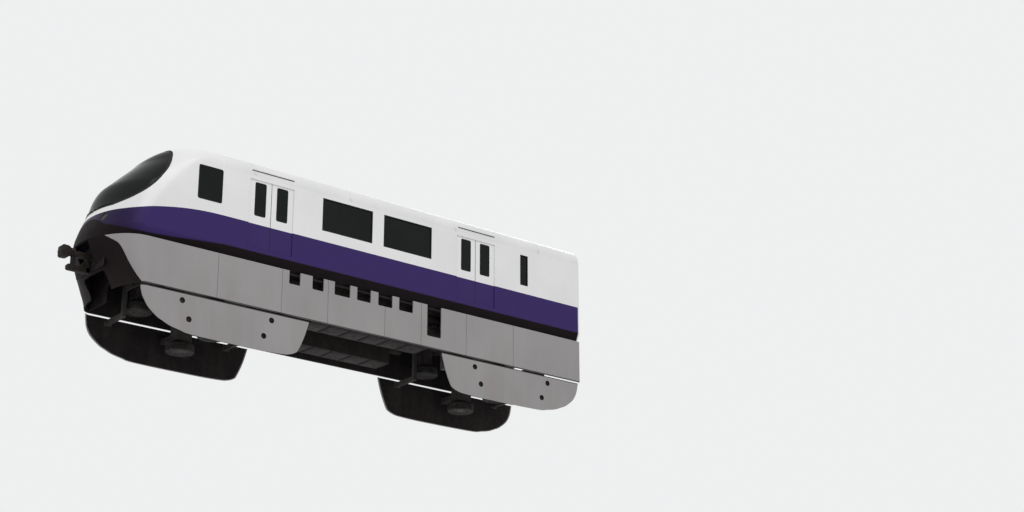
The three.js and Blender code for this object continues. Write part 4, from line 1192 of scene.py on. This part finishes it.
# Columns: rear end, front end, inner edge.
SHELVES = ((-7.32, -2.40, 1.16), (-2.39, 1.34, 1.245), (1.35, 6.06, 1.16))
SHELF_EDGE = 1.4552


def hatches(side):
    """Hatches, ribs and drains below the equipment boxes of a side."""
    under = []
    for x in LID_PLACES:
        under += [box("hatch", (x - 0.24, side * 0.62, -0.358), (x + 0.24, side * 1.14, -0.3503), 0.003),
                  box("rib", (x + 0.290, side * 0.59, -0.372), (x + 0.318, side * 1.17, -0.3503), 0.004),
                  bar("drain", "z", 0.018, -0.372, -0.35, (x, side * 0.88), 14)]
    return under


def air_tanks(side):
    """Air tanks with their straps and hangers on a side."""
    y = side * TANK_Y
    tanks = []
    for x, z in TANKS:
        tanks.append(turned("tank", TANK, "x", (x, y, z), 32))
        for middle in (x - 0.15, x + 0.15):
            aft, fore = middle - STRAP_HALF, middle + STRAP_HALF
            strap = [(0.1305, aft), (0.134, aft), (0.134, fore), (0.1305, fore)]
            tanks.append(turned("strap", strap, "x", (0, y, z), 32))
    tanks += [box("hanger", (x - 0.02, y - 0.012, low), (x + 0.02, y + 0.012, 1.031), 0.003)
              for x, low in TANK_HANGERS]
    return tanks


def floor_pipes(side):
    """Pipes and their clips under a side of the floor."""
    pipes = [pipe("pipe", [(x0, side * PIPE_Y, z), (x1, side * PIPE_Y, z)], radius, 3)
             for z, radius in PIPES for x0, x1 in PIPE_RUNS]
    return pipes + [box("clip", (x - 0.015, side * 1.119, 0.691), (x + 0.015, side * 1.150, 0.830), 0.003)
                    for x in PIPE_CLIPS]


def skirt_shelves(side):
    """Near-black shelves that close the gap above the skirts, each with a lip: painted shade in the gap."""
    shelves = []
    for x0, x1, y in SHELVES:
        shelves += [box("shelf", (x0, side * y, 0.681), (x1, side * SHELF_EDGE, 0.690), 0.002),
                    box("lip", (x0, side * 1.447, 0.64), (x1, side * SHELF_EDGE, 0.685), 0.002)]
    return shelves


lid = box_lid()
for side_name, side in SIDES:
    lids = merge(f"equipment_lids_{side_name}", [copied(lid, "lid", (x, LID_FACE, 0)) for x in LID_PLACES])
    finished(on_side(lids, side), underframe_dark, "underframe_dark")
    finished(merge(f"box_hatches_{side_name}", hatches(side)), underframe_dark, "underframe_dark")
drop(lid)
for side_name, side in SIDES:
    finished(merge(f"air_tanks_{side_name}", air_tanks(side)), underframe_dark, "underframe_dark")
    finished(merge(f"underfloor_pipes_{side_name}", floor_pipes(side)), bogie_steel, "bogie_steel")
    finished(merge(f"skirt_shelf_{side_name}", skirt_shelves(side)), painted_shade_coat, "underframe_dark")

# Bogie fittings

SPRING_Y, MOTOR_X, MOTOR_Z = 0.89, 0.76, 0.52
# Radius, then height.
SPRING = [(0.2055, 0.772), (0.213, 0.776), (0.221, 0.796), (0.224, 0.825), (0.220, 0.855), (0.212, 0.874),
          (0.2085, 0.882), (0.212, 0.890), (0.220, 0.908), (0.224, 0.938), (0.221, 0.966), (0.213, 0.986),
          (0.2055, 0.990)]
SPRING_PLATE = [(0.20, 0.990), (0.232, 0.990), (0.236, 0.998), (0.236, 1.012), (0.228, 1.020), (0.20, 1.020)]
SPRING_SEAT = [(0.20, 0.7605), (0.222, 0.7605), (0.222, 0.770), (0.20, 0.772)]
# Radius, then distance from the car's middle plane.
END_BELL = [(0.10, 1.0395), (0.165, 1.0395), (0.150, 1.060), (0.09, 1.068), (0.0005, 1.068), (0.0005, 1.0395)]
MOTOR_FINS = (0.70, 0.75, 0.80, 0.85, 0.90, 0.95)
# Columns: rear end, front end, middle height.
COVER_PADS = ((-1.79, -1.59, -0.58), (1.59, 1.79, -0.58), (-0.2, 0.2, -0.76))


def motor_fittings(x):
    """Fins, end bell, bolts and terminal box of a motor."""
    parts = []
    for y in MOTOR_FINS:
        fin = [(0.186, y), (0.205, y), (0.207, y + 0.004), (0.205, y + 0.008), (0.186, y + 0.008)]
        parts.append(turned("fin", fin, "y", (x, 0, MOTOR_Z), 32))
    return parts + [turned("end_bell", END_BELL, "y", (x, 0, MOTOR_Z), 28),
                    bolt_circle("y", (x, MOTOR_Z), 0.176, 8, 0.010, 1.0395, 1.052),
                    box("terminal_box", (x - 0.09, 0.78, 0.695), (x + 0.09, 0.97, 0.752), 0.010, 3)]


def bearing_fittings(x):
    """Bearing cap, ribs and bolts of a guide wheel's bracket."""
    return [bar("bearing_cap", "z", 0.09, -0.1435, -0.12, (x, GUIDE_Y), 28),
            box("bracket_rib", (x - 0.16, 0.70, -0.09), (x - 0.135, 0.92, 0.34), 0.004),
            box("bracket_rib", (x + 0.135, 0.70, -0.09), (x + 0.16, 0.92, 0.34), 0.004),
            bolt_circle("z", (x, GUIDE_Y), 0.108, 6, 0.011, -0.1415, -0.1285)]


def cover_pad(x0, x1, z):
    """A bolted pad that carries a bogie's cover."""
    corners = [(x, z + rise) for rise in (-0.075, 0.075) for x in (x0 + 0.03, x1 - 0.03)]
    return [box("cover_pad", (x0, 1.438, z - 0.09), (x1, 1.4545, z + 0.09), 0.004),
            bolt_heads("y", corners, 0.010, 1.428, 1.440)]


def bogie_fittings():
    """Spring plates, motor fins, bearing caps and bolted pads of one bogie, by its middle."""
    half = [turned("spring_plate", SPRING_PLATE, "z", (0, SPRING_Y, 0), 40),
            turned("spring_seat", SPRING_SEAT, "z", (0, SPRING_Y, 0), 40),
            bar("bearing_cap", "z", 0.09, -0.9435, -0.92, (0, GUIDE_Y), 28)]
    for way in (-1, 1):
        half += motor_fittings(way * MOTOR_X) + bearing_fittings(way * GUIDE_X)
    half += [box("beam_rib", (x - 0.008, 0.699, 0.36), (x + 0.008, 0.735, 0.73), 0.003)
             for x in (-1.55, -1.05, -0.45, 0.45, 1.05, 1.55)]
    for x0, x1, z in COVER_PADS:
        half += cover_pad(x0, x1, z)
    return both_halves(merge("half", half), "bogie_fittings")


springs = outward(both_halves(turned("air_spring", SPRING, "z", (0, SPRING_Y, 0), 40), "air_springs"))
fittings = bogie_fittings()
for end_name, centre, _ in BOGIES:
    finished(copied(springs, f"air_springs_{end_name}", (centre, 0, 0)), bellows_rubber, "bellows_rubber",
             body=f"bogie_{end_name}")
    finished(copied(fittings, f"bogie_fittings_{end_name}", (centre, 0, 0)), bogie_steel, "bogie_steel",
             body=f"bogie_{end_name}")
drop(springs, fittings)

# Saloon

DECK, FLOOR = 1.1303, 1.134
CEILING_BACK, CEILING_FRONT, CEILING_PANEL = -7.34, 4.10, 1.144
STRIP_PITCH, STRIP_LENGTH = 1.4, 1.32
SEATS, SEAT_PITCH, BENCH_BACK = 7, 0.5, -2.25
BENCH_FRONT = BENCH_BACK + SEATS * SEAT_PITCH
# Across the car, then height.
SEAT = smooth_line([(1.336, 1.972), (1.3, 1.975), (1.288, 1.93), (1.268, 1.78), (1.24, 1.645), (1.19, 1.6),
                    (1.05, 1.583), (0.93, 1.592), (0.888, 1.58), (0.874, 1.545), (0.9, 1.512), (1.05, 1.5),
                    (1.2, 1.52), (1.295, 1.58), (1.325, 1.75)], 3)
SEAT_BRACKET = [(1.335, 1.30), (1.335, 1.56), (0.93, 1.52), (0.93, 1.505), (1.18, 1.46)]
RAIL_Y, RAIL_Z, RAIL_RADIUS = 0.76, 2.96, 0.017
CROSS_RAILS, POLES = (-6.0, -3.0, 0.0, 3.0), (3.55, 1.75, -2.75, -4.65)
GRIPS, GRIP_PITCH = 14, 0.7
# Along the car from the grip's middle, then height.
GRIP = [(0, 2.80), (0.03, 2.785), (0.062, 2.70), (0.05, 2.685), (0, 2.680), (-0.05, 2.685), (-0.062, 2.70),
        (-0.03, 2.785), (0, 2.80)]

floor_cover = box("floor_covering", (-7.352, -1.34, DECK), (4.115, 1.34, 1.1335), 0.001, 1)
finished(floor_cover, floor_grey, "interior_panel")
for side_name, side in SIDES:
    lining = []
    for x0, x1 in ((-7.35, -4.41), (-3.06, 2.08), (3.42, 4.115)):
        lining += [box("lining", (x0, side * 1.3455, FLOOR), (x1, side * 1.3495, 1.99), 0.001, 1),
                   box("kick_strip", (x0, side * 1.3415, FLOOR), (x1, side * 1.3494, 1.21), 0.001, 1)]
    finished(merge(f"side_lining_{side_name}", lining), interior_panel, "interior_panel")

panel = box("ceiling", (CEILING_BACK, -0.50, 3.52), (CEILING_FRONT, 0.50, 3.545), 0.006)
for i in range(1, 10):
    x = CEILING_BACK + CEILING_PANEL * i
    carve(panel, box("seam", (x - 0.003, -1, 3.51), (x + 0.003, 1, 3.524), 0))
ceiling, strips = [panel], []
for side in (1, -1):
    ceiling.append(box("cove", (CEILING_BACK, side * 0.515, 3.53), (CEILING_FRONT, side * 0.625, 3.545)))
    for i in range(8):
        x = -7.2 + STRIP_PITCH * i
        strips.append(box("strip", (x, side * 0.53, 3.495), (x + STRIP_LENGTH, side * 0.61, 3.531), 0.012, 3))
finished(merge("ceiling_panels", ceiling), interior_panel, "interior_panel")
finished(merge("light_strips", strips), strip_light, "lamp_glass")

seat = plate("seat", SEAT, "x", -0.236, 0.236, 0.014, 3)
for side_name, side in SIDES:
    places = [BENCH_BACK + SEAT_PITCH * (i + 0.5) for i in range(SEATS)]
    row = merge(f"seats_{side_name}", [copied(seat, "seat", (x, 0, 0)) for x in places])
    base = [box("heater", (BENCH_BACK, 1.19, FLOOR), (BENCH_FRONT, 1.342, 1.49), 0.006)]
    # A bracket stands at each end of the row and at each joint between two seats.
    base += [plate("bracket", SEAT_BRACKET, "x", x - 0.022, x + 0.022)
             for x in between(BENCH_BACK, BENCH_FRONT, SEATS)]
    base = merge(f"seat_base_{side_name}", base)
    finished(on_side(row, side), seat_plastic, "seat_plastic", f"bench_{side_name}")
    finished(on_side(base, side), interior_panel, "interior_panel", f"bench_{side_name}")
drop(seat)


def grab_handle(x, y):
    """A grip that hangs from a rail on a stalk and a clamp."""
    return [box("stalk", (x - 0.014, y - 0.004, 2.79), (x + 0.014, y + 0.004, 2.945), 0.003),
            bar("clamp", "x", 0.024, x - 0.02, x + 0.02, (y, RAIL_Z), 18),
            pipe("grip", smooth_line([(x + along, y, z) for along, z in GRIP], 3), 0.008, 2)]


rails, grips = [], []
for y in (RAIL_Y, -RAIL_Y):
    rails.append(bar("rail", "x", RAIL_RADIUS, -6.6, 3.6, (y, RAIL_Z), 16))
    for x in CROSS_RAILS:
        rails += [bar("drop", "z", RAIL_RADIUS, RAIL_Z, 3.555, (x, y), 16),
                  bar("rose", "z", 0.035, 3.545, 3.556, (x, y), 20)]
    for x in POLES:
        rails += [bar("pole", "z", RAIL_RADIUS, FLOOR, RAIL_Z, (x, y), 16),
                  bar("rose", "z", 0.038, FLOOR, 1.146, (x, y), 20)]
    for i in range(GRIPS):
        grips += grab_handle(-6.2 + GRIP_PITCH * i, y)
rails += [bar("cross_rail", "y", RAIL_RADIUS, -RAIL_Y, RAIL_Y, (x, RAIL_Z), 16) for x in CROSS_RAILS]
finished(merge("grab_rail_tubes", rails), rail_steel, "rail_steel", "grab_rails")
finished(merge("grab_handles", grips), cab_fittings, "cab_fittings")
thresholds = [box("threshold", (x - 0.649, side * 1.3505, 1.1252), (x + 0.649, side * 1.38, 1.1285), 0.001, 1)
              for x in DOOR_CENTRES.values() for side in (1, -1)]
finished(merge("door_thresholds", thresholds), bright_steel, "rail_steel")

# Driver's cab

# Outlines are along the car, then height.
DESK = smooth_line([(5.45, 1.86), (5.452, 1.79), (5.70, 1.75), (5.755, 1.70), (5.80, 1.16), (6.14, 1.15),
                    (6.14, 1.70), (5.95, 1.955), (5.70, 1.90)], 3)
SEAT_BACK = smooth_line([(4.99, 1.61), (4.925, 1.63), (4.895, 1.8), (4.865, 2.25), (4.845, 2.29), (4.8, 2.29),
                         (4.785, 2.25), (4.81, 1.9), (4.85, 1.62)], 3)
SEAT_PAN = smooth_line([(4.86, 1.60), (4.90, 1.57), (5.10, 1.555), (5.36, 1.565), (5.40, 1.60), (5.395, 1.65),
                        (5.34, 1.665), (5.10, 1.64), (4.93, 1.655)], 3)
PEDESTAL = [(0.0005, 1.19), (0.19, 1.19), (0.19, 1.205), (0.075, 1.23), (0.06, 1.30), (0.06, 1.545),
            (0.12, 1.555), (0.12, 1.566), (0.0005, 1.566)]
# Columns: along the car, across it from the seat's middle, height.
ARMREST = [(4.88, 0.255, 1.66), (4.87, 0.275, 1.80), (4.93, 0.28, 1.86), (5.22, 0.28, 1.86)]
SCREEN_TILT, SCREEN_PLACE = math.radians(12), (5.845, 0, 1.955)


def desk_screen(y, half):
    """A screen laid on the desk's sloping top."""
    screen = box("screen", (-0.10, y - half, -0.012), (0.10, y + half, 0.010), 0.008, 3)
    only(screen)
    bpy.ops.transform.rotate(value=SCREEN_TILT, orient_axis="Y", center_override=(0, 0, 0))
    bpy.ops.transform.translate(value=SCREEN_PLACE)
    bpy.ops.object.transform_apply(location=True, rotation=True)
    return screen


cab_parts = [plate("desk", DESK, "y", -0.95, 0.95, 0.012, 3),
             box("podium", (4.70, -0.80, DECK), (6.15, 0.80, 1.19), 0.010),
             plate("seat_back", SEAT_BACK, "y", -0.24, 0.24, 0.016, 3),
             plate("seat_pan", SEAT_PAN, "y", -0.25, 0.25, 0.014, 3),
             turned("pedestal", PEDESTAL, "z", (5.08, 0, 0), 32)]
cab_parts += [pipe("armrest", smooth_line([(x, side * y, z) for x, y, z in ARMREST], 4), 0.016)
              for side in (-1, 1)]
cab_parts += [desk_screen(y, half) for y, half in ((-0.62, 0.17), (-0.2, 0.19), (0.22, 0.19), (0.64, 0.17))]
for y in (-0.38, 0.40):
    cab_parts += [box("lever_slot", (5.51, y - 0.05, 1.858), (5.66, y + 0.05, 1.892), 0.010, 3),
                  bar("lever", "z", 0.010, 1.88, 1.985, (5.58, y), 14),
                  bar("knob", "y", 0.022, y - 0.045, y + 0.045, (5.58, 1.99), 20)]
finished(merge("driver_desk", cab_parts), cab_fittings, "cab_fittings", "driver_station")

# Wipers and headlights

BOWL = [(0.0005, 6.735), (0.030, 6.737), (0.058, 6.757), (0.078, 6.790), (0.090, 6.835), (0.094, 6.835),
        (0.082, 6.785), (0.060, 6.748), (0.030, 6.728), (0.0005, 6.726)]
BULB = [(0.0005, 6.73), (0.014, 6.735), (0.016, 6.775), (0.011, 6.79), (0.0005, 6.794)]


def on_nose(y, z, out):
    """The point at a height and distance from the middle plane, a little off the nose's surface."""
    tip, start, power = form_at(NOSE_FORM, z)
    across = min(abs(y) / half_width(z), 1) ** (power / 2)
    return Vector((start + (tip + out - start) * math.sqrt(1 - across * across), y, z))


wipers = []
for side in (-1, 1):
    arm = [on_nose(side * (0.08 + 0.34 * i / 8), 1.645 + 0.025 * i / 8, 0.020) for i in range(9)]
    blade = [on_nose(side * (0.16 + 0.56 * i / 12), 1.690 - 0.012 * i / 12, 0.006) for i in range(13)]
    wipers += [pipe("arm", arm, 0.008, 3), pipe("blade", blade, 0.0065, 2),
               bar("pivot", "x", 0.020, arm[0].x - 0.03, arm[0].x + 0.010, (arm[0].y, arm[0].z), 20)]
finished(merge("wipers", wipers), seal_black, "tyre_black")

lens_skin = body_skin("lens_skin", inset=0.010, thickness=0.006)
for (side_name, side), lens_area in zip(SIDES, lamp_rods("lens_area", -0.0005)):
    lens = carve(copied(lens_skin, f"headlight_lens_{side_name}"), lens_area, keep=True)
    finished(lens, lamp_glass, "lamp_glass", f"headlight_{side_name}")
    middle = (0, side * LAMP_Y, LAMP_Z)
    reflector = [turned("bowl", BOWL, "x", middle, 36), turned("bulb", BULB, "x", middle, 20)]
    finished(merge(f"headlight_reflector_{side_name}", reflector), bright_steel, "rail_steel")
drop(lens_skin)

bezel = body_skin("headlight_bezels", inset=-0.002, thickness=0.012)
carve(bezel, merge("rims", lamp_rods("rim", 0.016)), keep=True)
carve(bezel, *lamp_rods("hole", -0.004, 6.5, 7.6))
finished(bezel, seal_black, "valance_dark")
